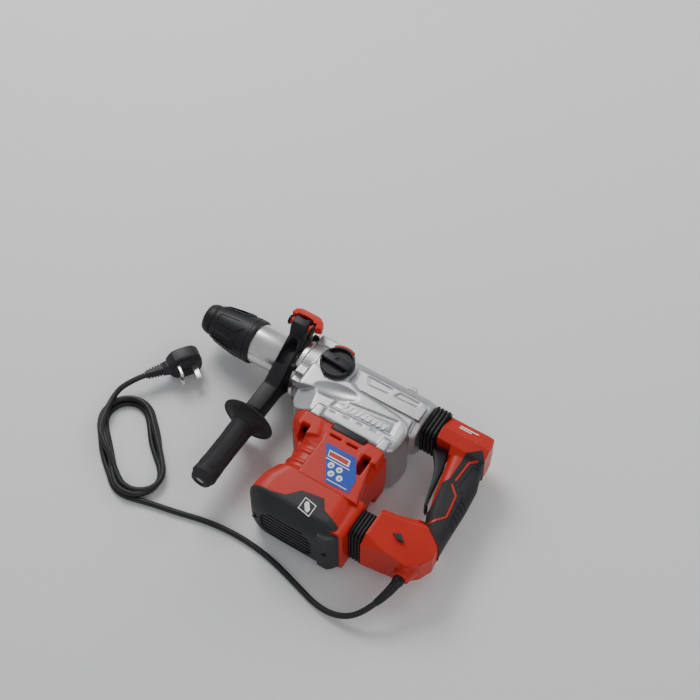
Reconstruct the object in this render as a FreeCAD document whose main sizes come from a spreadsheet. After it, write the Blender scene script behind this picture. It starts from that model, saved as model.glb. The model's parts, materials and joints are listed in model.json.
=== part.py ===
import FreeCAD, Part
import math
import os
import re

import Sketcher

# Rotary hammer lying on its side.
# +X runs rearward along the hammer axis, +Y is the tool's top (the motor hangs towards -Y) and +Z is up.
# The origin is the mouth of the tool-holder bore.  Millimetres.

SIZES = {
    # tool holder, chuck and hammer tube, measured along the hammer axis from the bore's mouth
    "bore_radius": 9.1, "bore_end": 79.0, "cap_length": 16.0, "nose_radius": 12.0, "nose_length": 12.0,
    "holder_radius": 15.0,
    "holder_length": 120.0, "holder_shoulder": 90.0, "tube_radius": 19.0, "tube_bore": 15.0, "tube_end": 286.0,
    "sleeve_front": 16.6, "sleeve_end": 85.0, "sleeve_front_radius": 24.0, "sleeve_rear_radius": 32.7,
    "web_front": 42.0, "web_rear": 58.0, "sleeve_bore": 29.9, "running_gap": 0.05,
    "roller_radius": 2.9, "roller_front": 24.0, "roller_length": 14.0,
    # neck, flange and gear housing
    "neck_front": 76.0, "neck_radius": 29.0, "neck_bore": 24.0, "flange_front": 163.0, "housing_front": 170.0,
    "flange_radius": 45.0, "lug_across": 28.0, "lug_up": 36.0, "lug_radius": 7.5, "lug_end": 204.0,
    "barrel_radius": 39.5, "barrel_bore": 36.0, "barrel_end": 357.0, "seat_radius": 28.0, "seat_end": 200.0,
    "block_front": 190.0, "block_rear": 351.0, "block_half": 50.0, "block_bottom": -82.0, "block_cut": 20.0,
    "shelf_top": -42.0, "shelf_bottom": -56.0, "cavity_half": 38.0,
    "knob_place": 216.0, "knob_radius": 24.0, "boss_radius": 27.0, "boss_top": 49.5, "knob_top": 60.0,
    # gear train
    "motor_axis": 280.0, "crank_axis": 315.0, "idler_axis": 250.25, "gear_module": 1.75,
    "motor_teeth": 10, "idler_teeth": 24, "crank_teeth": 30, "bevel_teeth": 12, "ring_teeth": 36,
    "gear_low": -72.0, "gear_high": -62.0, "plate_top": -75.0, "crank_throw": 13.0, "ring_face": 241.5,
    "ring_inner": 26.0, "ring_outer": 34.0, "bevel_low": -34.0, "bevel_high": -26.5,
    "piston_front": 236.0, "piston_rear": 258.0, "wrist_place": 252.0,
    # motor
    "flange_bottom": -103.0, "motor_half": 50.0, "shoe_top": -170.0, "cover_step": -219.0,
    "shoe_bottom": -231.0, "shoe_rear": 360.0,
    "core_high": -118.0, "core_low": -162.0, "core_radius": 24.0, "stator_bore": 24.8, "wall": 3.0,
    # side handle
    "bracket_place": 144.0, "bracket_half": 11.5, "grip_root": -104.0, "disc_place": -112.0, "disc_radius": 38.5,
    "grip_end": -226.0, "stud_radius": 5.0, "lever_across": 23.0, "lever_up": 60.0,
    # rear handle
    "bellows_front": 360.6, "bellows_rear": 379.4, "handle_front": 380.0, "handle_half": 38.0, "head_half": 28.0,
    "grip_half": 18.0, "rod_radius": 5.0, "upper_rod": 9.0, "lower_rod": -178.0,
    "gland_along": 441.0, "gland_down": -206.0,
    # mains lead and plug
    "cord_diameter": 8.0, "relief_diameter": 13.0, "floor_level": -50.0, "coil_top": -27.0,
    "coil_reach": 45.0, "coil_outer": 42.0, "coil_inner": 20.0, "coil_along": 18.0, "coil_across": -212.0,
    "plug_depth": 22.0, "plug_width": 46.0, "plug_back": 24.0, "plug_tail": 58.0,
}

doc = FreeCAD.newDocument("rotary_hammer")
sheet = doc.addObject("Spreadsheet::Sheet", "Sizes")
for row, (alias, number) in enumerate(SIZES.items(), start=1):
    sheet.set(f"A{row}", alias)
    sheet.set(f"B{row}", str(number))
    sheet.setAlias(f"B{row}", alias)
doc.recompute()

NODES = []


def bound(text):
    """A formula in words, with each size's name pointed at its cell."""
    return re.sub(r"[a-z_]+",
                  lambda word: "Sizes." + word.group(0) if word.group(0) in SIZES else word.group(0), text)


def size(alias):
    return float(SIZES[alias])


def place(thing, at):
    """Binds an object's position to three formulas."""
    for axis, text in zip("xyz", at):
        if text != "0":
            thing.setExpression(f"Placement.Base.{axis}", bound(text))


class Piece:
    """One sub-part, as a body of sketched features."""

    def __init__(self, label):
        self.body = doc.addObject("PartDesign::Body", label)
        self.label = label
        NODES.append(self.body)

    def sketch(self, role, shift, loops):
        """A sketch on an origin plane: each loop is a list of corners, or (across, up, radius) for a circle."""
        drawing = self.body.newObject("Sketcher::SketchObject", self.label + "_sketch")
        plane = next(item for item in self.body.Origin.OriginFeatures if item.Role == role)
        drawing.AttachmentSupport = [(plane, "")]
        drawing.MapMode = "FlatFace"
        for axis, text in zip("xyz", shift):
            if text != "0":
                drawing.setExpression(f"AttachmentOffset.Base.{axis}", bound(text))
        for loop in loops:
            if isinstance(loop, tuple):
                draw_circle(drawing, loop)
            else:
                draw_corners(drawing, loop)
        return drawing

    def feature(self, kind, drawing):
        made = self.body.newObject("PartDesign::" + kind, self.label + "_" + kind.lower())
        made.Profile = drawing
        return made

    def pad(self, role, low, high, *loops):
        """Adds an extrusion between two levels along the plane's own row axis."""
        start = f"-({high})" if role == "XZ_Plane" else low
        made = self.feature("Pad", self.sketch(role, ("0", "0", start), loops))
        made.setExpression("Length", bound(f"({high}) - ({low})"))
        return self

    def pocket(self, role, low, high, *loops):
        """Cuts an extrusion between two levels along the plane's own row axis."""
        start = f"-({low})" if role == "XZ_Plane" else high
        made = self.feature("Pocket", self.sketch(role, ("0", "0", start), loops))
        made.setExpression("Length", bound(f"({high}) - ({low})"))
        return self

    def turn(self, axis, outline, at=("0", "0", "0"), kind="Revolution"):
        """Adds or cuts a turned shape.  Outlines are (along, radius) about X and (radius, along) about Y or Z."""
        if axis == "X":
            drawing = self.sketch("XY_Plane", (at[0], at[1], at[2]), [outline])
        elif axis == "Y":
            drawing = self.sketch("XY_Plane", (at[0], at[1], at[2]), [outline])
        else:
            drawing = self.sketch("XZ_Plane", (at[0], at[2], f"-({at[1]})"), [outline])
        made = self.feature(kind, drawing)
        made.ReferenceAxis = (drawing, ["H_Axis" if axis == "X" else "V_Axis"])
        made.Angle = 360
        return self

    def groove(self, axis, outline, at=("0", "0", "0")):
        return self.turn(axis, outline, at, "Groove")


def draw_corners(drawing, corners):
    first = drawing.GeometryCount
    count = len(corners)
    turns = [math.tau * n / count for n in range(count)]
    spots = [FreeCAD.Vector(math.cos(turn), math.sin(turn), 0) for turn in turns]
    for n in range(count):
        drawing.addGeometry(Part.LineSegment(spots[n], spots[(n + 1) % count]))
    for n in range(count):
        drawing.addConstraint(Sketcher.Constraint("Coincident", first + n, 2, first + (n + 1) % count, 1))
    for n, (across, up) in enumerate(corners):
        for kind, text, now in (("DistanceX", across, spots[n].x), ("DistanceY", up, spots[n].y)):
            index = drawing.addConstraint(Sketcher.Constraint(kind, -1, 1, first + n, 1, now))
            drawing.setExpression(f"Constraints[{index}]", bound(text))


def draw_circle(drawing, loop):
    first = drawing.addGeometry(Part.Circle(FreeCAD.Vector(1, 1, 0), FreeCAD.Vector(0, 0, 1), 1))
    for kind, text in (("DistanceX", loop[0]), ("DistanceY", loop[1])):
        index = drawing.addConstraint(Sketcher.Constraint(kind, -1, 1, first, 3, 1.0))
        drawing.setExpression(f"Constraints[{index}]", bound(text))
    index = drawing.addConstraint(Sketcher.Constraint("Radius", first, 1.0))
    drawing.setExpression(f"Constraints[{index}]", bound(loop[2]))


def box_corners(left, low, right, high):
    return [(left, low), (right, low), (right, high), (left, high)]


def cut_box(left, low, right, high, cut):
    """A rectangle with its four corners cut off."""
    return [(f"{left} + {cut}", low), (f"{right} - {cut}", low), (right, f"{low} + {cut}"),
            (right, f"{high} - {cut}"),
            (f"{right} - {cut}", high), (f"{left} + {cut}", high), (left, f"{high} - {cut}"),
            (left, f"{low} + {cut}")]


def ring(label, axis, inner, outer, low, high, at=("0", "0", "0")):
    """A plain turned ring, such as a bearing."""
    if axis == "X":
        return Piece(label).turn(axis, box_corners(low, inner, high, outer), at)
    return Piece(label).turn(axis, box_corners(inner, low, outer, high), at)


TURNS = {
    "X": FreeCAD.Rotation(FreeCAD.Vector(0, 1, 0), 90),
    "Y": FreeCAD.Rotation(FreeCAD.Vector(1, 0, 0), -90),
    "Z": FreeCAD.Rotation(),
}


def rod(name, axis, radius, length, at):
    """A cylinder primitive that starts at a point and runs up an axis."""
    made = doc.addObject("Part::Cylinder", name)
    made.setExpression("Radius", bound(radius))
    made.setExpression("Height", bound(length))
    made.Placement = FreeCAD.Placement(FreeCAD.Vector(), TURNS[axis])
    place(made, at)
    return made


def block(name, corner, sizes):
    made = doc.addObject("Part::Box", name)
    for side, text in zip(("Length", "Width", "Height"), sizes):
        made.setExpression(side, bound(text))
    place(made, corner)
    return made


def joined(name, items):
    made = doc.addObject("Part::MultiFuse", name)
    made.Shapes = items
    return made


def less(name, base, tool):
    made = doc.addObject("Part::Cut", name)
    made.Base = base
    made.Tool = tool
    return made


def group(label, items):
    """Several separate solids kept as one node."""
    made = doc.addObject("Part::Compound", label)
    made.Links = items
    NODES.append(made)
    return made


def screw(name, axis, at, head_radius, head_length, shank_radius, shank_length, towards=1):
    """A cap screw: its head starts at a point and its shank runs on along the axis, with a hexagon socket."""
    step = {"X": 0, "Y": 1, "Z": 2}[axis]
    under = list(at)
    socket_at = list(at)
    if towards > 0:
        under[step] = f"{at[step]} + {head_length}"
        socket_length = f"{head_length} * 0.6"
    else:
        under[step] = f"{at[step]} - {head_length} - {shank_length}"
        socket_at[step] = f"{at[step]} - {head_length} * 0.6"
        socket_length = f"{head_length} * 0.6"
    head_at = list(at)
    if towards < 0:
        head_at[step] = f"{at[step]} - {head_length}"
    head = rod(name + "_head", axis, head_radius, head_length, head_at)
    shank = rod(name + "_shank", axis, shank_radius, shank_length, under)
    socket = doc.addObject("Part::Prism", name + "_socket")
    socket.Polygon = 6
    socket.setExpression("Circumradius", bound(f"{head_radius} * 0.55"))
    socket.setExpression("Height", bound(socket_length))
    socket.Placement = FreeCAD.Placement(FreeCAD.Vector(), TURNS[axis])
    place(socket, socket_at)
    return less(name, joined(name + "_blank", [head, shank]), socket)


def corners_of(across, up):
    """The four sign pairs of a square pattern."""
    return [(f"{a} * {across}", f"{b} * {up}") for a in (-1, 1) for b in (-1, 1)]


# ---------------------------------------------------------------- chuck and spindle


def chuck():
    cap = Piece("dust_cap")
    cap.turn("X", [("0", "nose_radius"), ("0", "17"), ("2.5", "19.5"), ("12", "22.6"), ("cap_length", "22.6"),
                   ("cap_length", "holder_radius"), ("nose_length", "holder_radius"),
                   ("nose_length", "nose_radius")])
    holder = Piece("tool_holder")
    holder.turn("X", [("0", "bore_radius"), ("0", "nose_radius"), ("nose_length", "nose_radius"),
                      ("nose_length", "holder_radius"), ("holder_shoulder", "holder_radius"),
                      ("holder_shoulder", "tube_radius"), ("holder_length", "tube_radius"),
                      ("holder_length", "bore_radius + 0.4"), ("bore_end", "bore_radius + 0.4"),
                      ("bore_end", "bore_radius")])
    slot = box_corners("roller_front", "-(roller_radius + 0.1)", "roller_front + roller_length",
                       "roller_radius + 0.1")
    holder.pocket("XZ_Plane", "bore_radius - 1", "holder_radius + 1", slot)
    holder.pocket("XZ_Plane", "-(holder_radius + 1)", "-(bore_radius - 1)", slot)
    rollers = [rod(f"roller_{side}", "X", "roller_radius", "roller_length - 0.4",
                   ("roller_front + 0.2", f"{sign} * (bore_radius + roller_radius + 0.02)", "0"))
               for side, sign in (("top", 1), ("bottom", -1))]
    group("lock_rollers", rollers)
    sleeve = Piece("chuck_sleeve")
    sleeve.turn("X", [("sleeve_front", "20"), ("sleeve_front", "sleeve_front_radius"), ("20", "25.4"),
                      ("60", "31.7"), ("79", "sleeve_rear_radius"), ("sleeve_end", "sleeve_rear_radius - 1"),
                      ("sleeve_end", "sleeve_bore"), ("62", "sleeve_bore"),
                      ("62", "24"), ("web_rear", "24"),
                      ("web_rear", "holder_radius + running_gap"),
                      ("web_front", "holder_radius + running_gap"),
                      ("web_front", "20")])
    coil("sleeve_spring", "X", "holder_radius + 2.6", "1.2", "web_rear + 1.4", "holder_shoulder - 1.4", "4",
         ("0", "0", "0"))
    tube = ring("hammer_tube", "X", "tube_bore", "tube_radius", "holder_length", "tube_end")
    for vent in ("150", "232"):
        tube.pocket("XY_Plane", "-25", "25", (vent, "0", "2"))


def coil(label, axis, radius, wire, low, high, turns, at):
    """A helical spring of six-sided wire between two levels, coiled about Z and then laid along its axis."""
    piece = Piece(label)
    section = [(f"{radius} + {wire} * {math.cos(math.tau * n / 6):.4f}",
                f"{wire} * {math.sin(math.tau * n / 6):.4f}")
               for n in range(6)]
    drawing = piece.sketch("XZ_Plane", ("0", "0", "0"), [section])
    made = piece.feature("AdditiveHelix", drawing)
    made.ReferenceAxis = (drawing, ["V_Axis"])
    made.Mode = 2
    made.setExpression("Height", bound(f"({high}) - ({low})"))
    made.setExpression("Turns", bound(turns))
    piece.body.Placement = FreeCAD.Placement(FreeCAD.Vector(), TURNS[axis])
    step = {"X": 0, "Y": 1, "Z": 2}[axis]
    start = list(at)
    start[step] = low
    place(piece.body, start)
    return piece.body


def gear(label, teeth, thick, bore, low, axis_place, tip_share, root_share, gap_first):
    """A spur gear cut about its own axis, then stood along Y at its place in the train."""
    piece = Piece(label)
    pitch = f"(gear_module * {teeth} / 2)"
    root = f"({pitch} - {root_share} * gear_module)"
    piece.pad("XY_Plane", "0", thick, ("0", "0", root), ("0", "0", bore))
    blank = piece.body.Tip
    tooth = [(f"{root} - 0.8", "-0.9 * gear_module"),
             (f"{pitch} + {tip_share} * gear_module", "-0.34 * gear_module"),
             (f"{pitch} + {tip_share} * gear_module", "0.34 * gear_module"),
             (f"{root} - 0.8", "0.9 * gear_module")]
    piece.pad("XY_Plane", "0", thick, tooth)
    spread(piece, blank, "N_Axis", teeth)
    spin = 180.0 / size(teeth) if gap_first else 0.0
    turn = TURNS["Y"].multiply(FreeCAD.Rotation(FreeCAD.Vector(0, 0, 1), spin))
    piece.body.Placement = FreeCAD.Placement(FreeCAD.Vector(), turn)
    place(piece.body, (axis_place, low, "0"))
    return piece


def face_gear():
    """The ring on the hammer tube whose teeth stand rearward and meet the small pinion."""
    piece = Piece("spindle_ring_gear")
    piece.pad("XY_Plane", "-10", "-3.7", ("0", "0", "ring_outer"), ("0", "0", "tube_radius"))
    blank = piece.body.Tip
    tooth = [("-1.3", "-4"), ("1.3", "-4"), ("0.65", "0"), ("-0.65", "0")]
    piece.pad("XZ_Plane", "ring_inner", "ring_outer - 0.5", tooth)
    spread(piece, blank, "N_Axis", "ring_teeth")
    turn = TURNS["X"].multiply(FreeCAD.Rotation(FreeCAD.Vector(0, 0, 1), 180.0 / size("ring_teeth")))
    piece.body.Placement = FreeCAD.Placement(FreeCAD.Vector(), turn)
    place(piece.body, ("ring_face", "0", "0"))


def gear_train():
    gear("crank_gear", "crank_teeth", "gear_high - gear_low", "7", "gear_low", "crank_axis", "0.7", "0.95",
         True)
    gear("idler_gear", "idler_teeth", "gear_high - gear_low", "5", "gear_low", "idler_axis", "0.7", "0.95",
         True)
    crank = Piece("crank_shaft")
    at = ("crank_axis", "0", "0")
    crank.turn("Y", [("0", "block_bottom + 0.4"), ("7", "block_bottom + 0.4"), ("7", "gear_high"),
                     ("9", "gear_high"),
                     ("9", "-24"), ("20", "-24"), ("20", "-12"), ("0", "-12")], at)
    crank.pad("XZ_Plane", "-13", "-6.2", ("crank_axis - crank_throw", "0", "5"))
    idler = toothed_shaft("pinion_shaft", "bevel_teeth", "7.8", "3.4", ("0.6", "1.5"), "bevel_low",
                          "bevel_high", [
        ("0", "block_bottom + 0.4"), ("5", "block_bottom + 0.4"), ("5", "gear_high"), ("6", "gear_high"),
        ("6", "bevel_low"), ("7.8", "bevel_low"), ("7.8", "bevel_high"), ("0", "bevel_high")])
    place(idler.body, ("idler_axis", "0", "0"))


def toothed_shaft(label, teeth, root, tall, halves, low, high, profile):
    """A shaft turned about Y with straight teeth standing on one stretch of it, the first tooth towards -X."""
    shaft = Piece(label)
    shaft.turn("Y", profile)
    blank = shaft.body.Tip
    tip_half, root_half = halves
    shaft.pad("XZ_Plane", low, high, [(f"-({root} - 0.6)", f"-{root_half}"), (f"-({root} - 0.6)", root_half),
                                      (f"-({root} + {tall})", tip_half),
                                      (f"-({root} + {tall})", f"-{tip_half}")])
    spread(shaft, blank, "V_Axis", teeth)
    return shaft


def spread(piece, base, axis, count):
    """Repeats the last feature all the way round an axis of the base feature's sketch."""
    pattern = piece.body.newObject("PartDesign::PolarPattern", piece.label + "_pattern")
    pattern.Originals = [piece.body.Tip]
    pattern.Axis = (base.Profile[0], [axis])
    pattern.Angle = 360
    pattern.setExpression("Occurrences", bound(count))
    piece.body.Tip = pattern


# ---------------------------------------------------------------- hammer mechanism


def hammer():
    bolt = Piece("impact_bolt")
    bolt.turn("X", [("80", "0"), ("80", "9"), ("121", "9"), ("121", "tube_bore - running_gap"),
                    ("132", "tube_bore - running_gap"), ("132", "9"), ("158", "9"), ("158", "0")])
    striker = Piece("striker")
    striker.turn("X", [("178", "0"), ("178", "9"), ("190", "9"), ("190", "tube_bore - running_gap"),
                       ("226", "tube_bore - running_gap"), ("226", "0")])
    piston = Piece("piston")
    piston.turn("X", [("piston_front", "0"), ("piston_front", "14.5"), ("piston_front + 2.5", "14.5"),
                      ("piston_front + 2.5", "13"), ("piston_front + 5.5", "13"),
                      ("piston_front + 5.5", "tube_bore - running_gap"),
                      ("piston_rear", "tube_bore - running_gap"),
                      ("piston_rear", "0")])
    piston.pocket("XZ_Plane", "-5.3", "5.3", box_corners("piston_front + 8", "-10", "piston_rear + 1", "10"))
    piston.pocket("XZ_Plane", "-20", "20", ("wrist_place", "0", "4"))
    seal = doc.addObject("Part::Torus", "piston_seal")
    seal.Radius2 = 1.4
    seal.setExpression("Radius1", bound("tube_bore - 1.5"))
    seal.Placement = FreeCAD.Placement(FreeCAD.Vector(), TURNS["X"])
    place(seal, ("piston_front + 4", "0", "0"))
    NODES.append(seal)
    group("wrist_pin", [rod("wrist_pin_rod", "Y", "4", "26", ("wrist_place", "-13", "0"))])
    link = Piece("connecting_rod")
    link.pad("XZ_Plane", "-5", "5", box_corners("wrist_place", "-4", "crank_axis - crank_throw", "4"))
    link.pad("XZ_Plane", "-5", "5", ("wrist_place", "0", "7"))
    link.pad("XZ_Plane", "-5", "5", ("crank_axis - crank_throw", "0", "9"))
    link.pocket("XZ_Plane", "-6", "6", ("wrist_place", "0", "4.05"), ("crank_axis - crank_throw", "0", "5.2"))


# ---------------------------------------------------------------- neck, gear housing and bearings


def neck():
    piece = Piece("front_neck")
    piece.turn("X", [("neck_front", "neck_bore"), ("neck_front", "neck_radius"),
                     ("flange_front", "neck_radius"),
                     ("flange_front", "flange_radius"), ("housing_front", "flange_radius"),
                     ("housing_front", "neck_bore")])
    for across, up in corners_of("lug_across", "lug_up"):
        piece.pad("YZ_Plane", "flange_front + 3", "housing_front", (across, up, "lug_radius - 0.5"))
    for across, up in corners_of("lug_across", "lug_up"):
        piece.pocket("YZ_Plane", "flange_front - 1", "flange_front + 3", (across, up, "5.6"))
        piece.pocket("YZ_Plane", "flange_front", "housing_front + 1", (across, up, "3.1"))
    screws = [screw(f"neck_screw_{n}", "X", ("flange_front - 3", across, up), "5", "6", "3", "24")
              for n, (across, up) in enumerate(corners_of("lug_across", "lug_up"))]
    return screws


def gear_housing():
    piece = Piece("gear_housing")
    half = "block_half"
    piece.turn("X", [("housing_front", "0"), ("housing_front", "flange_radius"), ("196", "flange_radius"),
                     ("lug_end", "barrel_radius"), ("barrel_end - 5", "barrel_radius"),
                     ("barrel_end", "barrel_radius - 5"), ("barrel_end", "0")])
    piece.pad("XZ_Plane", "block_bottom", "-15",
              cut_box("block_front", "-block_half", "block_rear", half, "block_cut"))
    for across, up in corners_of("lug_across", "lug_up"):
        piece.pad("YZ_Plane", "housing_front", "lug_end", (across, up, "lug_radius - 0.5"))
    piece.pad("XY_Plane", "0", "boss_top", ("knob_place", "0", "boss_radius"))
    # the front corner of the block slopes down to the motor, and its top corners are bevelled
    piece.pocket("XY_Plane", "-60", "60", [("block_front - 1", "-66"), ("block_front + 12", "block_bottom - 1"),
                                           ("block_front - 1", "block_bottom - 1")])
    # bearing seat, barrel bore, crank chamber and gear chamber
    piece.groove("X", [("housing_front - 1", "0"), ("housing_front - 1", "seat_radius"),
                       ("seat_end", "seat_radius"),
                       ("seat_end", "barrel_bore"), ("barrel_end - 7", "barrel_bore"), ("barrel_end - 7", "0")])
    piece.pocket("XZ_Plane", "shelf_top", "-8", cut_box("206", "-cavity_half", "345", "cavity_half", "8"))
    chamber = cut_box("block_front + 34", "-26", "block_rear - 11", "26", "6")
    piece.pocket("XZ_Plane", "block_bottom - 1", "shelf_bottom", chamber)
    piece.pocket("XZ_Plane", "block_bottom - 1", "shelf_bottom", ("crank_axis", "0", "30.5"))
    piece.pocket("XZ_Plane", "shelf_bottom - 1", "shelf_top + 1", ("crank_axis", "0", "17"),
                 ("idler_axis", "0", "14"))
    # holes for the neck screws, the motor screws and the selector
    for across, up in corners_of("lug_across", "lug_up"):
        piece.pocket("YZ_Plane", "housing_front - 1", "housing_front + 22", (across, up, "3"))
    for across, up in corners_of("47", "35"):
        piece.pocket("XZ_Plane", "block_bottom - 1", "block_bottom + 18", (f"motor_axis + {across}", up, "2.5"))
    piece.pocket("XY_Plane", "30", "boss_top + 1", ("knob_place", "0", "5.05"))
    # the rear guide rod is pressed into the end wall
    piece.pocket("YZ_Plane", "barrel_end - 8", "barrel_end + 1", ("upper_rod", "0", "rod_radius"))
    plate = Piece("bearing_plate")
    plate.pad("XZ_Plane", "block_bottom", "plate_top", chamber)
    plate.pocket("XZ_Plane", "block_bottom - 1", "plate_top + 1", ("motor_axis", "0", "13"),
                 ("crank_axis", "0", "11"),
                 ("idler_axis", "0", "9"))


def bearings():
    """Plain rings that stand in for the ball and needle races."""
    gap = "running_gap"
    spindle = [race("front_needle_race", "X", f"tube_radius + {gap}", "neck_bore", "98", "18", ("0", "0", "0")),
               race("rear_ball_race", "X", f"tube_radius + {gap}", "seat_radius", "176", "16", ("0", "0", "0"))]
    group("spindle_bearings", spindle)
    shelf = "shelf_top - 1 - shelf_bottom"
    plate = "plate_top - block_bottom"
    gears = [race("crank_race", "Y", f"9 + {gap}", "17", "shelf_bottom", shelf, ("crank_axis", "0", "0")),
             race("crank_tail_race", "Y", f"7 + {gap}", "11", "block_bottom", plate, ("crank_axis", "0", "0")),
             race("pinion_race", "Y", f"6 + {gap}", "14", "shelf_bottom", shelf, ("idler_axis", "0", "0")),
             race("pinion_tail_race", "Y", f"5 + {gap}", "9", "block_bottom", plate, ("idler_axis", "0", "0"))]
    group("gear_bearings", gears)
    armature = [race("front_race", "Y", f"6 + {gap}", "13", "block_bottom", plate, ("motor_axis", "0", "0")),
                race("rear_race", "Y", f"5 + {gap}", "11", "-207", "8", ("motor_axis", "0", "0"))]
    group("armature_bearings", armature)


def race(name, axis, inner, outer, low, length, at):
    start = list(at)
    start[{"X": 0, "Y": 1, "Z": 2}[axis]] = low
    return less(name, rod(name + "_outside", axis, outer, length, start),
                rod(name + "_bore", axis, inner, length, start))


def mode_selector():
    knob = Piece("mode_knob")
    at = ("knob_place", "0", "0")
    knob.turn("Z", [("0", "boss_top + 0.8"), ("knob_radius", "boss_top + 0.8"), ("knob_radius", "knob_top - 4"),
                    ("knob_radius - 2.5", "knob_top - 3"), ("0", "knob_top - 3")], at)
    knob.pad("XY_Plane", "knob_top - 4", "knob_top",
             box_corners("knob_place - 21", "-5", "knob_place + 21", "5"))
    knob.pocket("XY_Plane", "knob_top - 4", "knob_top + 1", ("knob_place", "0", "3.6"))
    selector = Piece("selector_shaft")
    selector.turn("Z", [("0", "36"), ("5", "36"), ("5", "boss_top + 0.8"), ("0", "boss_top + 0.8")], at)
    selector.pad("XY_Plane", "29", "36", ("knob_place + 2", "0", "2"))
    head = [screw("knob_screw_cap", "Z", ("knob_place", "0", "knob_top - 1"), "3.4", "3", "1.5", "3", -1)]
    group("knob_screw", head)


# ---------------------------------------------------------------- motor


def motor():
    at = ("motor_axis", "0", "0")
    pitch = "gear_module * motor_teeth / 2"
    root = f"({pitch} - 0.95 * gear_module)"
    shaft = toothed_shaft("armature_shaft", "motor_teeth", root, "1.65 * gear_module",
                          ("0.34 * gear_module", "0.9 * gear_module"), "gear_low - 1", "gear_high + 1", [
                              ("0", "-209"), ("5", "-209"), ("5", "-196"), ("6", "-196"), ("6", "gear_low - 1"),
                              (root, "gear_low - 1"), (root, "gear_high + 1"), ("0", "gear_high + 1")])
    place(shaft.body, at)
    core = Piece("armature_core")
    core.turn("Y", [("6", "core_low - 6"), ("core_radius - 5", "core_low - 6"), ("core_radius - 5", "core_low"),
                    ("core_radius", "core_low"), ("core_radius", "core_high"), ("6", "core_high")], at)
    blank = core.body.Tip
    slot = box_corners("core_radius - 8", "-1.2", "core_radius + 1", "1.2")
    core.pocket("XZ_Plane", "core_low - 1", "core_high + 1", [(f"motor_axis + {x}", z) for x, z in slot])
    spread(core, blank, "V_Axis", "bevel_teeth")
    ring("commutator", "Y", "6", "13", "-188", "-172", at)
    fan = Piece("cooling_fan")
    fan.turn("Y", [("6", "-110"), ("38", "-110"), ("38", "-108"), ("12", "-108"), ("12", "-98"),
                   ("6", "-98")], at)
    blank = fan.body.Tip
    blade = box_corners("10", "-1", "37", "1")
    fan.pad("XZ_Plane", "-108.5", "-99", [(f"motor_axis + {x}", z) for x, z in blade])
    spread(fan, blank, "V_Axis", "motor_teeth - 1")
    stator = Piece("stator_core")
    stator.pad("XZ_Plane", "core_low", "core_high",
               cut_box("motor_axis - 40", "-42", "motor_axis + 40", "42", "12"),
               ("motor_axis", "0", "stator_bore"))
    windings = Piece("field_windings")
    windings.turn("Y", box_corners("stator_bore + 1", "core_low - 7", "38", "core_low"), at)
    brush_parts = [block(f"brush_{side}", (f"motor_axis + {start}", "-184", "-4"), ("12", "8", "8"))
                   for side, start in (("front", "-25.1"), ("rear", "13.1"))]
    group("carbon_brushes", brush_parts)
    holders = []
    for side, start, hollow in (("front", "-37", "-25.1"), ("rear", "15", "13.1")):
        outer = block(f"holder_{side}", (f"motor_axis + {start}", "-187", "-7"), ("22", "14", "14"))
        inner = block(f"hollow_{side}", (f"motor_axis + {hollow} - 3", "-184.2", "-4.2"), ("18", "8.4", "8.4"))
        holders.append(less(f"brush_holder_{side}", outer, inner))
    group("brush_holders", holders)


def motor_housing():
    """The red tube round the stator, with the wide flange that meets the gear housing."""
    piece = Piece("motor_housing")
    half = "motor_half"
    piece.pad("XZ_Plane", "flange_bottom", "block_bottom",
              cut_box("motor_axis - 66", "-motor_half", "motor_axis + 64", half, "16"))
    piece.pad("XZ_Plane", "shoe_top", "flange_bottom",
              cut_box("motor_axis - 46", "-motor_half", "motor_axis + 58", half, "18"))
    for across, up in corners_of("47", "35"):
        piece.pad("XZ_Plane", "flange_bottom + 2", "block_bottom", (f"motor_axis + {across}", up, "13"))
    inner = cut_box("motor_axis - 46 + wall", "-(motor_half - wall)", "motor_axis + 58 - wall",
                    "motor_half - wall",
                    "17")
    piece.pocket("XZ_Plane", "shoe_top - 1", "flange_bottom + 10", inner)
    piece.pocket("XZ_Plane", "flange_bottom", "block_bottom + 1", ("motor_axis", "0", "15"))
    for across, up in corners_of("47", "35"):
        piece.pocket("XZ_Plane", "flange_bottom - 25", "flange_bottom + 4",
                     (f"motor_axis + {across}", up, "6.2"))
        piece.pocket("XZ_Plane", "flange_bottom", "block_bottom + 1", (f"motor_axis + {across}", up, "2.6"))
    for start in ("268", "292"):
        piece.pocket("XY_Plane", "motor_half - 6", "motor_half + 1",
                     box_corners(start, "-108", f"{start} + 16", "-105"))
    screws = [screw(f"motor_screw_{n}", "Y", (f"motor_axis + {across}", "flange_bottom - 2", up), "4.6", "5",
                    "2.5", "31") for n, (across, up) in enumerate(corners_of("47", "35"))]
    label = Piece("rating_label")
    label.pad("XY_Plane", half, "motor_half + 0.6", [("269", "-111"), ("316", "-111"), ("333", "-139"),
                                                     ("335", "-160"), ("301", "-162")])
    return screws


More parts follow.
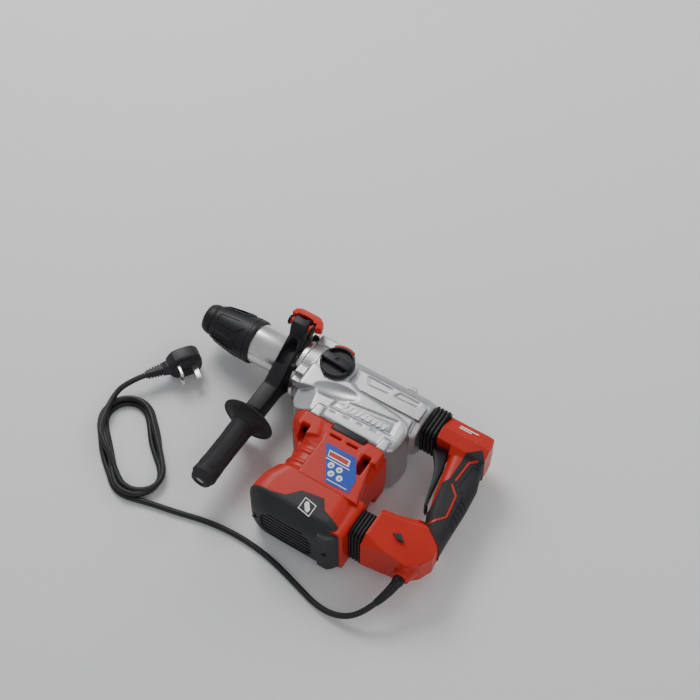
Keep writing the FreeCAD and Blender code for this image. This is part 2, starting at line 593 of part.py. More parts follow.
def motor_shoe():
    """The red foot under the motor that runs back to the lower bellows, and its dark end cover."""
    piece = Piece("motor_shoe")
    left, right = "217", "shoe_rear"
    piece.pad("XZ_Plane", "-206", "shoe_top", cut_box(left, "-motor_half", "350", "motor_half", "20"))
    piece.pad("XZ_Plane", "-206", "-158", box_corners("344", "-44", right, "44"))
    piece.pocket("XZ_Plane", "-207", "shoe_top - wall", cut_box(f"{left} + wall", "-(motor_half - wall)", "342",
                                                                "motor_half - wall", "19"))
    piece.pocket("XZ_Plane", "shoe_top - 4", "shoe_top + 1", ("motor_axis", "0", "36"))
    piece.pad("XZ_Plane", "-206", "-197", box_corners("motor_axis - 14", "-48", "motor_axis + 14", "48"))
    piece.pocket("XZ_Plane", "-208", "-190", ("motor_axis", "0", "11"))
    piece.pocket("YZ_Plane", "335", "shoe_rear + 1", ("lower_rod", "0", "rod_radius"))
    cover = Piece("end_cover")
    cover.pad("XZ_Plane", "cover_step", "-206", cut_box(left, "-motor_half", "359.6", "motor_half", "20"))
    cover.pad("XZ_Plane", "shoe_bottom", "cover_step", cut_box(f"{left} + 8", "-38", "350", "38", "18"))
    cover.pocket("XZ_Plane", "cover_step + wall", "-205",
                 cut_box(f"{left} + wall", "-(motor_half - wall)", "356",
                                                                  "motor_half - wall", "21"))
    cover.pocket("XZ_Plane", "shoe_bottom + wall", "-205", cut_box(f"{left} + 11", "-35", "347", "35", "17"))
    for step in range(6):
        up = f"{9 * step - 24}"
        cover.pocket("XZ_Plane", "shoe_bottom - 1", "shoe_bottom + 4",
                     box_corners("246", up, "318", f"{up} + 4.5"))
    screws = [screw(f"cover_screw_{side}", "Y", (place_x, "shoe_bottom", "0"), "3.4", "3", "1.5", "3", 1)
              for side, place_x in (("front", "234.5"), ("rear", "341"))]
    for place_x in ("234.5", "341"):
        cover.pocket("XZ_Plane", "shoe_bottom - 1", "shoe_bottom + 4", (place_x, "0", "3.4"))
    return screws


# ---------------------------------------------------------------- side handle


def side_handle():
    bracket = Piece("side_bracket")
    low, high = "bracket_place - bracket_half", "bracket_place + bracket_half"
    bracket.pad("YZ_Plane", low, high, [
        ("grip_root + 4", "-15"), ("-52", "-15"), ("-34", "-24"), ("-22", "-34"), ("-8", "-39"), ("16", "-37"),
        ("32", "-24"), ("38", "-6"), ("38", "12"), ("34", "30"), ("34", "62"), ("29", "69"), ("17", "69"),
        ("11", "63"), ("7", "49"), ("-25", "32"), ("-57", "15"), ("grip_root + 4", "15")])
    bracket.pocket("YZ_Plane", f"{low} - 1", f"{high} + 1", ("0", "0", "neck_radius + running_gap"))
    bracket.pocket("YZ_Plane", f"{low} - 1", f"{high} + 1", ("lever_across", "lever_up", "3.05"),
                   ("19", "45", "4.1"))
    bracket.pocket("XY_Plane", "35.5", "70", [("bracket_place - 7", "-16"), ("bracket_place", "-22"),
                                              ("bracket_place + 7", "-16"), ("bracket_place + 7", "-1"),
                                              ("bracket_place", "5"), ("bracket_place - 7", "-1")])
    bracket.pocket("XZ_Plane", "grip_root - 10", "-28", ("bracket_place", "0", "stud_radius + running_gap"))
    group("lever_pin", [rod("lever_pin_rod", "X", "3", "2 * bracket_half + 15",
                            ("bracket_place - bracket_half - 7.5", "lever_across", "lever_up"))])
    lever = Piece("depth_lever")
    for start in ("bracket_place - bracket_half - 6.3", "bracket_place + bracket_half + 0.3"):
        lever.pad("YZ_Plane", start, f"{start} + 6", [("lever_across - 6", "lever_up - 5"), ("52", "39"),
                                                      ("57", "45"), ("lever_across + 2", "lever_up + 6"),
                                                      ("lever_across - 6", "lever_up + 5")])
        lever.pocket("YZ_Plane", f"{start} - 1", f"{start} + 7", ("lever_across", "lever_up", "3.05"))
    lever.pad("YZ_Plane", "bracket_place - bracket_half - 3", "bracket_place + bracket_half + 3",
              [("46", "45"), ("52", "39"), ("57", "45"), ("50", "51")])
    grip = Piece("side_grip")
    at = ("bracket_place", "0", "0")
    grip.turn("Y", [("0", "grip_root + 3"), ("14", "grip_root + 3"), ("16", "grip_root"), ("24", "-106"),
                    ("disc_radius - 1", "disc_place + 1.5"), ("disc_radius", "disc_place"),
                    ("disc_radius - 1", "disc_place - 1"), ("27", "-113"), ("20", "-117"), ("17", "-124"),
                    ("15.5", "-170"), ("17", "-214"), ("14", "grip_end"), ("0", "grip_end")], at)
    grip.pocket("XZ_Plane", "grip_end + 6", "grip_root + 4", ("bracket_place", "0", "stud_radius"))
    grip.pocket("XZ_Plane", "grip_end - 1", "grip_end + 6", ("bracket_place", "0", "7"))
    stud = Piece("clamp_stud")
    stud.turn("Y", [("0", "grip_end + 1.5"), ("7", "grip_end + 1.5"), ("7", "grip_end + 6"),
                    ("stud_radius", "grip_end + 6"), ("stud_radius", "-33"), ("0", "-33")], at)


# ---------------------------------------------------------------- rear handle


def handle_outlines():
    """The upper head, the grip and the lower head, seen from the tool's side."""
    head = [("handle_front", "-20"), ("404", "-22"), ("449", "-20"), ("450", "10"), ("442", "28"),
            ("430", "34"),
            ("handle_front", "30")]
    grip = [("404", "-22"), ("451", "-14"), ("460", "-45"), ("463", "-80"), ("463", "-150"), ("436", "-150"),
            ("436", "-130"), ("421", "-108")]
    foot = [("handle_front", "-145"), ("408", "-141"), ("436", "-130"), ("463", "-146"), ("466", "-168"),
            ("440", "-190"), ("handle_front", "-204")]
    return head, grip, foot


def handle():
    """Two shells meeting on the tool's middle plane, with a soft jacket round the grip."""
    head, grip, foot = handle_outlines()
    hollow_head = [("handle_front + 4", "-16"), ("404", "-18"), ("445", "-16"), ("446", "9"), ("439", "25"),
                   ("429", "30"), ("handle_front + 4", "26")]
    hollow_grip = [("410", "-16"), ("446", "-16"), ("455", "-45"), ("458", "-80"), ("458", "-144"),
                   ("441", "-144"), ("440", "-128"), ("428", "-108")]
    hollow_foot = [("handle_front + 4", "-149"), ("409", "-145"), ("440", "-134"), ("459", "-148"),
                   ("461", "-166"), ("438", "-185"), ("handle_front + 4", "-199")]
    for label, sign in (("handle_left", 1), ("handle_right", -1)):
        shell = Piece(label)
        for outline, depth in ((head, "head_half"), (grip, "grip_half - 2"), (foot, "handle_half")):
            shell.pad("XY_Plane", "0" if sign > 0 else f"-({depth})", depth if sign > 0 else "0", outline)
        shell.turn("Y", [("0", "gland_down"), ("12", "gland_down"), ("15", "-182"), ("0", "-182")],
                   ("gland_along", "0", "0"))
        shell.pocket("XY_Plane", "-60" if sign > 0 else "0", "0" if sign > 0 else "60",
                     box_corners("370", "-240", "480", "60"))
        for outline, depth in ((hollow_head, "head_half - wall"), (hollow_grip, "grip_half - 2 - wall"),
                               (hollow_foot, "handle_half - wall")):
            shell.pocket("XY_Plane", "-1" if sign > 0 else f"-({depth})", depth if sign > 0 else "1", outline)
        shell.pocket("XZ_Plane", "gland_down - 1", "-170", ("gland_along", "0", "relief_diameter / 2"))
        for level in ("upper_rod", "lower_rod"):
            shell.pocket("YZ_Plane", "handle_front - 1", "handle_front + 5", (level, "0", "rod_radius + 0.1"))
        shell.pocket("XY_Plane", "-40", "40", [("370", "-23"), ("402", "-24"), ("402", "-14"), ("384", "-12"),
                                               ("370", "-12")])
        shell.pocket("XY_Plane", "-8.2", "8.2",
                     [("380", "-23"), ("424", "-23"), ("431", "-104"), ("424", "-113"),
                                                 ("405", "-113")])
    jacket = Piece("grip_overmould")
    jacket.pad("XY_Plane", "-grip_half", "grip_half", [
        ("436", "-23"), ("453", "-16"), ("462.5", "-44"), ("465.5", "-80"), ("465.5", "-145"), ("440", "-129"),
        ("425", "-108"), ("420", "-60")])
    jacket.pocket("XY_Plane", "-(grip_half - 2)", "grip_half - 2", [
        ("400", "-10"), ("451", "-10"), ("451", "-14"), ("460", "-45"), ("463", "-80"),
        ("463", "-160"),
        ("400", "-160")])
    trigger = Piece("trigger")
    trigger.pad("XY_Plane", "-7.5", "7.5", [("385", "-26"), ("405", "-24"), ("410", "-26"), ("419", "-100"),
                                            ("422", "-106"), ("417", "-108"), ("412", "-100"), ("396", "-60"),
                                            ("387", "-42")])
    trigger.pocket("XY_Plane", "-9", "9", ("417.5", "-103", "1.55"))
    switch = Piece("switch_module")
    switch.pad("XY_Plane", "-9", "9", [("432", "-36"), ("447", "-36"), ("453", "-76"), ("436", "-76")])
    pins = [rod("trigger_pin", "Z", "1.5", "26", ("417.5", "-103", "-13"))]
    for n, (along, up) in enumerate((("392", "22"), ("436", "20"), ("392", "-192"), ("452", "-152"))):
        pins.append(rod(f"handle_screw_{n}", "Z", "2", "44", (along, up, "-24")))
    group("handle_fasteners", pins)


def bellows_and_dampers():
    """Soft gaiters over two sprung guide rods that let the handle move towards the tool."""
    upper = Piece("upper_bellows")
    span = ("barrel_end + 0.4", "bellows_rear")
    upper.pad("YZ_Plane", *span, cut_box("-18", "-27", "32", "27", "8"))
    upper.pocket("YZ_Plane", "barrel_end", "bellows_rear + 1", cut_box("-14", "-23", "28", "23", "7"))
    lower = Piece("lower_bellows")
    lower.pad("YZ_Plane", "bellows_front", "bellows_rear", cut_box("-202", "-36", "-159", "36", "8"))
    lower.pocket("YZ_Plane", "bellows_front - 1", "bellows_rear + 1", cut_box("-198", "-32", "-163", "32", "7"))
    group("guide_rods", [rod("upper_guide", "X", "rod_radius", "44", ("barrel_end - 7", "upper_rod", "0")),
                         rod("lower_guide", "X", "rod_radius", "50", ("345", "lower_rod", "0"))])
    springs = [coil(f"{name}_spring", "X", "8", "1.3", "bellows_front + 1.6", "bellows_rear - 1.6", "3",
                    ("0", level, "0")) for name, level in (("upper", "upper_rod"), ("lower", "lower_rod"))]
    for spring in springs:
        NODES.remove(spring)
    group("damper_springs", springs)


# ---------------------------------------------------------------- mains lead and plug


LEAD_ROUTE = [(430, -243, -14), (420, -262, -25), (396, -276, -39), (362, -277, -45.9), (318, -264, -45.9),
              (270, -251, -45.9), (222, -246, -45.9), (172, -250, -45.9), (125, -262, -45.9), (80, -271, -45.9)]
RELIEF_ROUTE = [(441, -196, 0), (441, -222, -2), (430, -243, -14)]
TAIL_ROUTE = [(-51, -163, -34), (-45, -138, -29), (-30, -116, -27)]


def tube(label, route, diameter):
    """Straight runs joined by tangent arcs, as large as the two runs at each corner allow, swept with a circle."""
    points = [FreeCAD.Vector(*point) for point in route]
    edges = []
    start = points[0]
    for before, corner, after in zip(points, points[1:], points[2:]):
        back, ahead = before - corner, after - corner
        turn = math.pi - back.getAngle(ahead)
        reach = 0.45 * min(back.Length, ahead.Length)
        radius = reach / math.tan(turn / 2)
        print(f"{label} bend radius {radius:.1f}")
        back.normalize()
        ahead.normalize()
        arc_start, arc_end = corner + back * reach, corner + ahead * reach
        middle = (back + ahead).normalize() * (radius / math.cos(turn / 2) - radius)
        edges.append(Part.LineSegment(start, arc_start).toShape())
        edges.append(Part.Arc(arc_start, corner + middle, arc_end).toShape())
        start = arc_end
    edges.append(Part.LineSegment(start, points[-1]).toShape())
    path = Part.Wire(edges)
    section = Part.Wire([Part.makeCircle(diameter / 2, points[0], points[1] - points[0])])
    solid = path.makePipeShell([section], True, True)
    expected = path.Length * math.pi * diameter ** 2 / 4
    print(f"{label} length {path.Length:.0f} volume ratio {solid.Volume / expected:.4f}")
    made = doc.addObject("Part::Feature", label)
    made.Shape = solid
    NODES.append(made)


def mains_lead():
    tube("strain_relief", RELIEF_ROUTE, size("relief_diameter"))
    tube("cord_lead", LEAD_ROUTE, size("cord_diameter"))
    tube("cord_tail", TAIL_ROUTE, size("cord_diameter"))
    loops = Piece("cord_coil")
    level = ("floor_level", "coil_top")
    loops.pad("XY_Plane", *level, box_corners("-coil_reach", "-coil_outer", "coil_reach", "coil_outer"))
    for end in ("-coil_reach", "coil_reach"):
        loops.pad("XY_Plane", *level, (end, "0", "coil_outer"))
    loops.pocket("XY_Plane", *level, box_corners("-coil_reach", "-coil_inner", "coil_reach", "coil_inner"))
    for end in ("-coil_reach", "coil_reach"):
        loops.pocket("XY_Plane", *level, (end, "0", "coil_inner"))
    loops.body.Placement = FreeCAD.Placement(FreeCAD.Vector(), FreeCAD.Rotation(FreeCAD.Vector(0, 0, 1), -43))
    place(loops.body, ("coil_along", "coil_across", "0"))
    body = Piece("plug_body")
    face = "plug_depth / 2"
    body.pad("YZ_Plane", f"-{face}", face, [("-plug_back", "-12"), ("-plug_back", "12"),
                                            ("-14", "plug_width / 2"),
                                           ("16", "plug_width / 2"), ("24", "10"), ("24", "-10"),
                                           ("16", "-plug_width / 2"), ("-14", "-plug_width / 2")])
    body.turn("Y", [("0", "-plug_tail"), ("6", "-plug_tail"), ("9", "-plug_back"), ("0", "-plug_back")])
    pins = [block("earth_pin", ("0", "0", "0"), ("22.7", "8", "4")),
            block("live_pin", ("0", "0", "0"), ("17.7", "4", "6.3")),
            block("neutral_pin", ("0", "0", "0"), ("17.7", "4", "6.3"))]
    turn = FreeCAD.Rotation(FreeCAD.Vector(0, 0, 1), -35)
    centre = FreeCAD.Vector(3.3, -68.5, size("floor_level") + size("plug_width") / 2)
    for pin, corner in zip(pins, ((11, 7.1, -2), (11, -13.1, 7.9), (11, -13.1, -14.3))):
        pin.Placement = FreeCAD.Placement(centre + turn.multVec(FreeCAD.Vector(*corner)), turn)
    body.body.Placement = FreeCAD.Placement(centre, turn)
    group("plug_pins", pins)


# ---------------------------------------------------------------- make, check and write


chuck()
face_gear()
gear_train()
hammer()
case_screws = neck()
gear_housing()
bearings()
mode_selector()
motor()
case_screws += motor_housing()
case_screws += motor_shoe()
group("housing_screws", case_screws)
side_handle()
handle()
bellows_and_dampers()
mains_lead()
doc.recompute()

for item in doc.Objects:
    if "Invalid" in item.State or "Error" in item.State:
        raise RuntimeError(f"{item.Name} failed: {item.State}")
os.makedirs("parts", exist_ok=True)
for node in NODES:
    shape = node.Shape
    if shape.isNull() or not shape.isValid():
        raise RuntimeError(f"{node.Label} has no valid shape")
for node in NODES:
    shape = node.Shape
    b = shape.BoundBox
    print(f"{node.Label:24s} solids {len(shape.Solids)} vol {shape.Volume/1000:8.2f} "
          f"X {b.XMin:.1f}..{b.XMax:.1f} Y {b.YMin:.1f}..{b.YMax:.1f} Z {b.ZMin:.1f}..{b.ZMax:.1f}")
    shape.exportStep(f"parts/{node.Label}.step")
print(len(NODES), "nodes")
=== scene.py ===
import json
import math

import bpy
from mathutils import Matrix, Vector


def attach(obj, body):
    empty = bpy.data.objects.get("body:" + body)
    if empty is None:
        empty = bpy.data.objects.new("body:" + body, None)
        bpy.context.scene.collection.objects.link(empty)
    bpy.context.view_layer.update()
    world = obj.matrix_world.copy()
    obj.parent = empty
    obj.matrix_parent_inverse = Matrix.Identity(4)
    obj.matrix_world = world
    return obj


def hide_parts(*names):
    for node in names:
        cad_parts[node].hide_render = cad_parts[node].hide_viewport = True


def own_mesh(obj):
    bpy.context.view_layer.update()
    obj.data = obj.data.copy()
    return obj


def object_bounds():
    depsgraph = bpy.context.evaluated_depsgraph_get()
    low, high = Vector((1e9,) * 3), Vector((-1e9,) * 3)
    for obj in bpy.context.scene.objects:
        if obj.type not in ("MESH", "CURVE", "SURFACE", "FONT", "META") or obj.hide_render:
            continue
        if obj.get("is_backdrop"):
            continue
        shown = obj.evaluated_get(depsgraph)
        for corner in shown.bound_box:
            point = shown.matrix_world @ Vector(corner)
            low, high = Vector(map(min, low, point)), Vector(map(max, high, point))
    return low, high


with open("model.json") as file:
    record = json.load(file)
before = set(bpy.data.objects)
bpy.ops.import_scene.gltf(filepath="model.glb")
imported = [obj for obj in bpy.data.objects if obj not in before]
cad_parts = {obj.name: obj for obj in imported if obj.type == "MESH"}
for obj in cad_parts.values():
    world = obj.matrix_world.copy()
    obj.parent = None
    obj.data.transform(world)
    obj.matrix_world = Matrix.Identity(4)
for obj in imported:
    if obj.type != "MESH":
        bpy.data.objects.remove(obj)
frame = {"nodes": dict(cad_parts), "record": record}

# %% [markdown]
# # A rotary hammer lying on its side
# This lesson dresses a finished mechanical model in castings, moulded shells, rubber and steel.
# The loaded frame holds sixty working pieces.  It stays as it is: a visible casting or shell is
# modelled round it, and the new piece stands for the plain one.
# Everything is in metres: +X runs back along the hammer, +Y is the tool's top and +Z is up.

cad_low, cad_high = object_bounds()
scene = bpy.context.scene
MM = 0.001
print("the working model measures", [round(c, 4) for c in cad_high - cad_low], "m")

# %% [markdown]
# ## The camera
# The camera looks down on the tool from its front right at about 55 degrees, as a person does who stands
# over a work bench.  A long lens keeps the proportions true.

# %% Camera
AZIMUTH, ELEVATION, DISTANCE, LENS = 32.3, 55.3, 2.216, 80.54
ORIGIN_OFF_AXIS = (-0.09004, 0.02133)


def place_camera():
    turn, lift = math.radians(AZIMUTH), math.radians(ELEVATION)
    back = Vector((math.sin(turn) * math.cos(lift), -math.cos(turn) * math.cos(lift), math.sin(lift)))
    right = Vector((math.cos(turn), math.sin(turn), 0))
    up = back.cross(right)
    across, above = ORIGIN_OFF_AXIS
    place = (back - across * right - above * up) * DISTANCE
    bpy.ops.object.camera_add(location=place)
    camera = bpy.context.object
    camera.data.lens = LENS
    camera.matrix_world = Matrix.Translation(place) @ Matrix((right, up, back)).transposed().to_4x4()
    scene.camera = camera


place_camera()

# %% [markdown]
# ## Floor and light
# A plain pale floor and three large soft lamps show the shapes without colouring them.  The floor lies just
# where the tool rests, so its contact shadows are real.

# %% Floor and lights
FLOOR_LEVEL = cad_low.z - 0.0002


def area_lamp(name, place, side, power):
    bpy.ops.object.light_add(type="AREA", location=place)
    lamp = bpy.context.object
    lamp.name = name
    lamp.data.size = side
    lamp.data.energy = power
    lamp.rotation_euler = (Vector((0.2, -0.1, 0)) - Vector(place)).to_track_quat("-Z", "Y").to_euler()


bpy.ops.mesh.primitive_plane_add(size=14, location=(0.2, -0.1, FLOOR_LEVEL))
floor = bpy.context.object
floor.name = "floor"
floor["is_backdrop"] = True
area_lamp("key_lamp", (-1.1, 0.9, 1.8), 1.1, 34)
area_lamp("fill_lamp", (1.7, -1.3, 1.3), 1.8, 11)
area_lamp("rim_lamp", (0.9, 1.9, 1.2), 1.2, 12)
world = bpy.data.worlds.new("studio")
scene.world = world
world.use_nodes = True
world.node_tree.nodes["Background"].inputs["Color"].default_value = (0.9, 0.92, 0.95, 1)
world.node_tree.nodes["Background"].inputs["Strength"].default_value = 0.42

# %% [markdown]
# ## Surface effects shared by many materials
# Moulded plastic, cast alloy and rubber differ in colour and gloss, but their fine surface is built from the
# same few effects.  Each effect is a node group, made once and placed in every material with its own values.
# The patterns read Object coordinates, so they stay on the piece when it moves.

# %% Node groups
def new_group(name, inputs, outputs):
    """A node group with float or colour sockets, given as (name, type, default)."""
    group = bpy.data.node_groups.new(name, "ShaderNodeTree")
    for label, kind, value in inputs:
        socket = group.interface.new_socket(label, in_out="INPUT", socket_type=kind)
        socket.default_value = value
    for label, kind in outputs:
        group.interface.new_socket(label, in_out="OUTPUT", socket_type=kind)
    entry = group.nodes.new("NodeGroupInput")
    leave = group.nodes.new("NodeGroupOutput")
    return group, entry, leave


def connect(tree, source, output, target, target_input):
    tree.links.new(source.outputs[output], target.inputs[target_input])


def object_noise(tree, scale_from, scale_output, detail, roughness=0.55):
    """Noise on Object coordinates, with its scale read from another node."""
    where = tree.nodes.new("ShaderNodeTexCoord")
    noise = tree.nodes.new("ShaderNodeTexNoise")
    noise.inputs["Detail"].default_value = detail
    noise.inputs["Roughness"].default_value = roughness
    connect(tree, where, "Object", noise, "Vector")
    connect(tree, scale_from, scale_output, noise, "Scale")
    return noise


def spread_values(tree, source, output, low_from, low, high_from, high):
    """Maps a 0 to 1 value to the range between two other sockets."""
    node = tree.nodes.new("ShaderNodeMapRange")
    connect(tree, source, output, node, "Value")
    node.inputs["From Min"].default_value = 0.3
    node.inputs["From Max"].default_value = 0.7
    connect(tree, low_from, low, node, "To Min")
    connect(tree, high_from, high, node, "To Max")
    return node


FLOAT, COLOUR = "NodeSocketFloat", "NodeSocketColor"


def make_surface_group():
    """Colour that drifts a little, roughness that varies and a fine grain for the bump."""
    group, entry, leave = new_group("moulded_surface", [
        ("Colour", COLOUR, (0.5, 0.5, 0.5, 1)), ("Worn Colour", COLOUR, (0.6, 0.6, 0.6, 1)),
        ("Wear", FLOAT, 0.2), ("Smooth", FLOAT, 0.3), ("Rough", FLOAT, 0.5), ("Grain Scale", FLOAT, 900.0)],
        [("Colour", COLOUR), ("Roughness", FLOAT), ("Height", FLOAT)])
    grain = object_noise(group, entry, "Grain Scale", 3)
    where = group.nodes.new("ShaderNodeTexCoord")
    drift = group.nodes.new("ShaderNodeTexNoise")
    drift.inputs["Scale"].default_value = 14
    drift.inputs["Detail"].default_value = 4
    connect(group, where, "Object", drift, "Vector")
    edge = group.nodes.new("ShaderNodeNewGeometry")
    sharp = group.nodes.new("ShaderNodeMapRange")
    sharp.inputs["From Min"].default_value = 0.52
    sharp.inputs["From Max"].default_value = 0.62
    connect(group, edge, "Pointiness", sharp, "Value")
    amount = group.nodes.new("ShaderNodeMath")
    amount.operation = "MULTIPLY"
    connect(group, sharp, "Result", amount, 0)
    connect(group, entry, "Wear", amount, 1)
    patchy = group.nodes.new("ShaderNodeMath")
    patchy.operation = "MULTIPLY"
    connect(group, amount, "Value", patchy, 0)
    connect(group, drift, "Fac", patchy, 1)
    shade = group.nodes.new("ShaderNodeMix")
    shade.data_type = "RGBA"
    connect(group, patchy, "Value", shade, "Factor")
    connect(group, entry, "Colour", shade, "A")
    connect(group, entry, "Worn Colour", shade, "B")
    tone = group.nodes.new("ShaderNodeMapRange")
    tone.inputs["From Min"].default_value = 0.3
    tone.inputs["From Max"].default_value = 0.7
    tone.inputs["To Min"].default_value = 0.9
    tone.inputs["To Max"].default_value = 1.07
    connect(group, drift, "Fac", tone, "Value")
    tint = group.nodes.new("ShaderNodeVectorMath")
    tint.operation = "SCALE"
    connect(group, shade, "Result", tint, 0)
    connect(group, tone, "Result", tint, "Scale")
    connect(group, tint, "Vector", leave, "Colour")
    rough = spread_values(group, drift, "Fac", entry, "Smooth", entry, "Rough")
    connect(group, rough, "Result", leave, "Roughness")
    connect(group, grain, "Fac", leave, "Height")
    return group


SURFACE = make_surface_group()
print("surface effects:", [socket.name for socket in SURFACE.interface.items_tree])

# %% [markdown]
# ## Finishes
# One function builds a material round the shared surface group.  The constants that make a finish what it is,
# such as metal or plastic, coat and specular level, are set on the shader's own sockets.

# %% Materials
def finish(name, colour, smooth, rough, grain=900, bump=0.15, worn=None, wear=0.25, metallic=0.0, coat=0.0,
           specular=0.3):
    material = bpy.data.materials.new(name)
    material.use_nodes = True
    tree = material.node_tree
    shader = tree.nodes["Principled BSDF"]
    surface = tree.nodes.new("ShaderNodeGroup")
    surface.node_tree = SURFACE
    worn = worn or [min(1.0, c * 1.6 + 0.03) for c in colour]
    surface.inputs["Colour"].default_value = (*colour, 1)
    surface.inputs["Worn Colour"].default_value = (*worn, 1)
    surface.inputs["Wear"].default_value = wear
    surface.inputs["Smooth"].default_value = smooth
    surface.inputs["Rough"].default_value = rough
    surface.inputs["Grain Scale"].default_value = grain
    lift = tree.nodes.new("ShaderNodeBump")
    lift.inputs["Strength"].default_value = bump
    lift.inputs["Distance"].default_value = 0.0003
    connect(tree, surface, "Height", lift, "Height")
    connect(tree, lift, "Normal", shader, "Normal")
    connect(tree, surface, "Colour", shader, "Base Color")
    connect(tree, surface, "Roughness", shader, "Roughness")
    shader.inputs["Metallic"].default_value = metallic
    shader.inputs["Coat Weight"].default_value = coat
    shader.inputs["Coat Roughness"].default_value = 0.25
    shader.inputs["Specular IOR Level"].default_value = specular
    return material


FINISHES = {
    "red_plastic": finish("red_plastic", (0.52, 0.021, 0.010), 0.34, 0.46, 1400, 0.12, (0.66, 0.07, 0.04)),
    "cast_alloy": finish("cast_alloy", (0.47, 0.47, 0.48), 0.34, 0.46, 700, 0.4, (0.75, 0.75, 0.76), 0.5, 0.9),
    "black_plastic": finish("black_plastic", (0.014, 0.014, 0.016), 0.36, 0.5, 1500, 0.2),
    "grey_plastic": finish("grey_plastic", (0.028, 0.028, 0.031), 0.42, 0.55, 1500, 0.25),
    "soft_grip": finish("soft_grip", (0.022, 0.022, 0.024), 0.55, 0.72, 2200, 0.4),
    "rubber": finish("rubber", (0.012, 0.012, 0.013), 0.4, 0.55, 1800, 0.2),
    "cord_rubber": finish("cord_rubber", (0.02, 0.02, 0.021), 0.38, 0.5, 1500, 0.12),
    "plug_plastic": finish("plug_plastic", (0.02, 0.02, 0.023), 0.35, 0.48, 1300, 0.15),
    "pin_metal": finish("pin_metal", (0.72, 0.71, 0.68), 0.22, 0.34, 600, 0.05, metallic=0.9),
    "bright_steel": finish("bright_steel", (0.74, 0.73, 0.72), 0.2, 0.32, 700, 0.05, metallic=1.0),
    "tool_steel": finish("tool_steel", (0.42, 0.42, 0.44), 0.25, 0.4, 500, 0.1, metallic=1.0),
    "dark_steel": finish("dark_steel", (0.02, 0.02, 0.022), 0.25, 0.4, 900, 0.1, metallic=0.6),
    "lamination_steel": finish("lamination_steel", (0.28, 0.28, 0.3), 0.4, 0.55, 900, 0.2, metallic=0.9),
    "copper": finish("copper", (0.62, 0.25, 0.1), 0.3, 0.42, 800, 0.2, metallic=0.9),
    "carbon": finish("carbon", (0.03, 0.03, 0.032), 0.6, 0.75, 1200, 0.3),
    "white_print": finish("white_print", (0.8, 0.8, 0.78), 0.4, 0.5, 900, 0.05),
    "blue_label": finish("blue_label", (0.006, 0.055, 0.36), 0.3, 0.4, 900, 0.03),
}
pale = bpy.data.materials.new("studio_floor")
pale.use_nodes = True
pale.node_tree.nodes["Principled BSDF"].inputs["Base Color"].default_value = (0.8, 0.8, 0.8, 1)
pale.node_tree.nodes["Principled BSDF"].inputs["Roughness"].default_value = 0.7
floor.data.materials.append(pale)
for part in frame["record"]["subparts"]:
    node = frame["nodes"][part["node"]]
    node.data.materials.clear()
    node.data.materials.append(FINISHES[part["material_slot"]])
print(len(FINISHES), "finishes")


# %% [markdown]
# ## Ways of making a shape
# Four small tools make nearly every piece, each one a primitive that is shaped in edit mode.  A prism is a ring
# of corners, filled and extruded.  A turned piece is an outline spun round an axis.  A loft joins rounded
# sections with bridges.  Cutting, joining and keeping what two shapes share are Boolean modifiers.

# %% Shaping tools
AXES = {"X": lambda a, b, level: (level, a, b), "Y": lambda a, b, level: (a, level, b),
        "Z": lambda a, b, level: (a, b, level)}


def only(*pieces):
    """Selects just these pieces and makes the first one active."""
    bpy.ops.object.select_all(action="DESELECT")
    for piece in pieces:
        piece.select_set(True)
    bpy.context.view_layer.objects.active = pieces[0]


def ring_of(points, fill="NOTHING"):
    """A ring primitive whose corners are moved to the given points, in millimetres."""
    bpy.ops.object.select_all(action="DESELECT")
    bpy.ops.mesh.primitive_circle_add(vertices=len(points), fill_type=fill)
    ring = bpy.context.object
    for corner, point in zip(ring.data.vertices, points):
        corner.co = Vector(point) * MM
    return ring


def prism(name, corners, low, high, axis="Z"):
    piece = ring_of([AXES[axis](a, b, low) for a, b in corners], "NGON")
    piece.name = name
    bpy.ops.object.mode_set(mode="EDIT")
    bpy.ops.mesh.select_all(action="SELECT")
    travel = Vector(AXES[axis](0, 0, high - low)) * MM
    bpy.ops.mesh.extrude_region_move(TRANSFORM_OT_translate={"value": travel})
    bpy.ops.mesh.select_all(action="SELECT")
    bpy.ops.mesh.normals_make_consistent(inside=False)
    bpy.ops.object.mode_set(mode="OBJECT")
    return piece


def box(name, low, high):
    corners = [(low[0], low[1]), (high[0], low[1]), (high[0], high[1]), (low[0], high[1])]
    return prism(name, corners, low[2], high[2])


def turned(name, outline, axis="X", centre=(0, 0, 0), steps=72):
    """Spins a closed outline of (along, radius) points a full turn round an axis."""
    side = {"X": lambda along, radius: (along, radius, 0), "Y": lambda along, radius: (radius, along, 0),
            "Z": lambda along, radius: (radius, 0, along)}[axis]
    piece = ring_of([Vector(side(along, radius)) + Vector(centre) for along, radius in outline])
    piece.name = name
    bpy.ops.object.mode_set(mode="EDIT")
    bpy.ops.mesh.select_all(action="SELECT")
    spindle = Vector([letter == axis for letter in "XYZ"])
    bpy.ops.mesh.spin(steps=steps, angle=2 * math.pi, center=Vector(centre) * MM, axis=spindle)
    bpy.ops.mesh.select_all(action="SELECT")
    bpy.ops.mesh.remove_doubles(threshold=1e-6)
    bpy.ops.mesh.dissolve_degenerate(threshold=1e-7)
    bpy.ops.mesh.normals_make_consistent(inside=False)
    bpy.ops.object.mode_set(mode="OBJECT")
    return piece


def section(level, a0, a1, b0, b1, radius, axis, steps=8):
    """A rounded rectangle across an axis, with its corners as arcs."""
    points = []
    for quarter, (a, b) in enumerate(((a1, b1), (a0, b1), (a0, b0), (a1, b0))):
        middle_a = a - radius if a == a1 else a + radius
        middle_b = b - radius if b == b1 else b + radius
        for step in range(steps + 1):
            turn = math.radians(90 * (quarter + step / steps))
            across, up = middle_a + radius * math.cos(turn), middle_b + radius * math.sin(turn)
            points.append(AXES[axis](across, up, level))
    return points


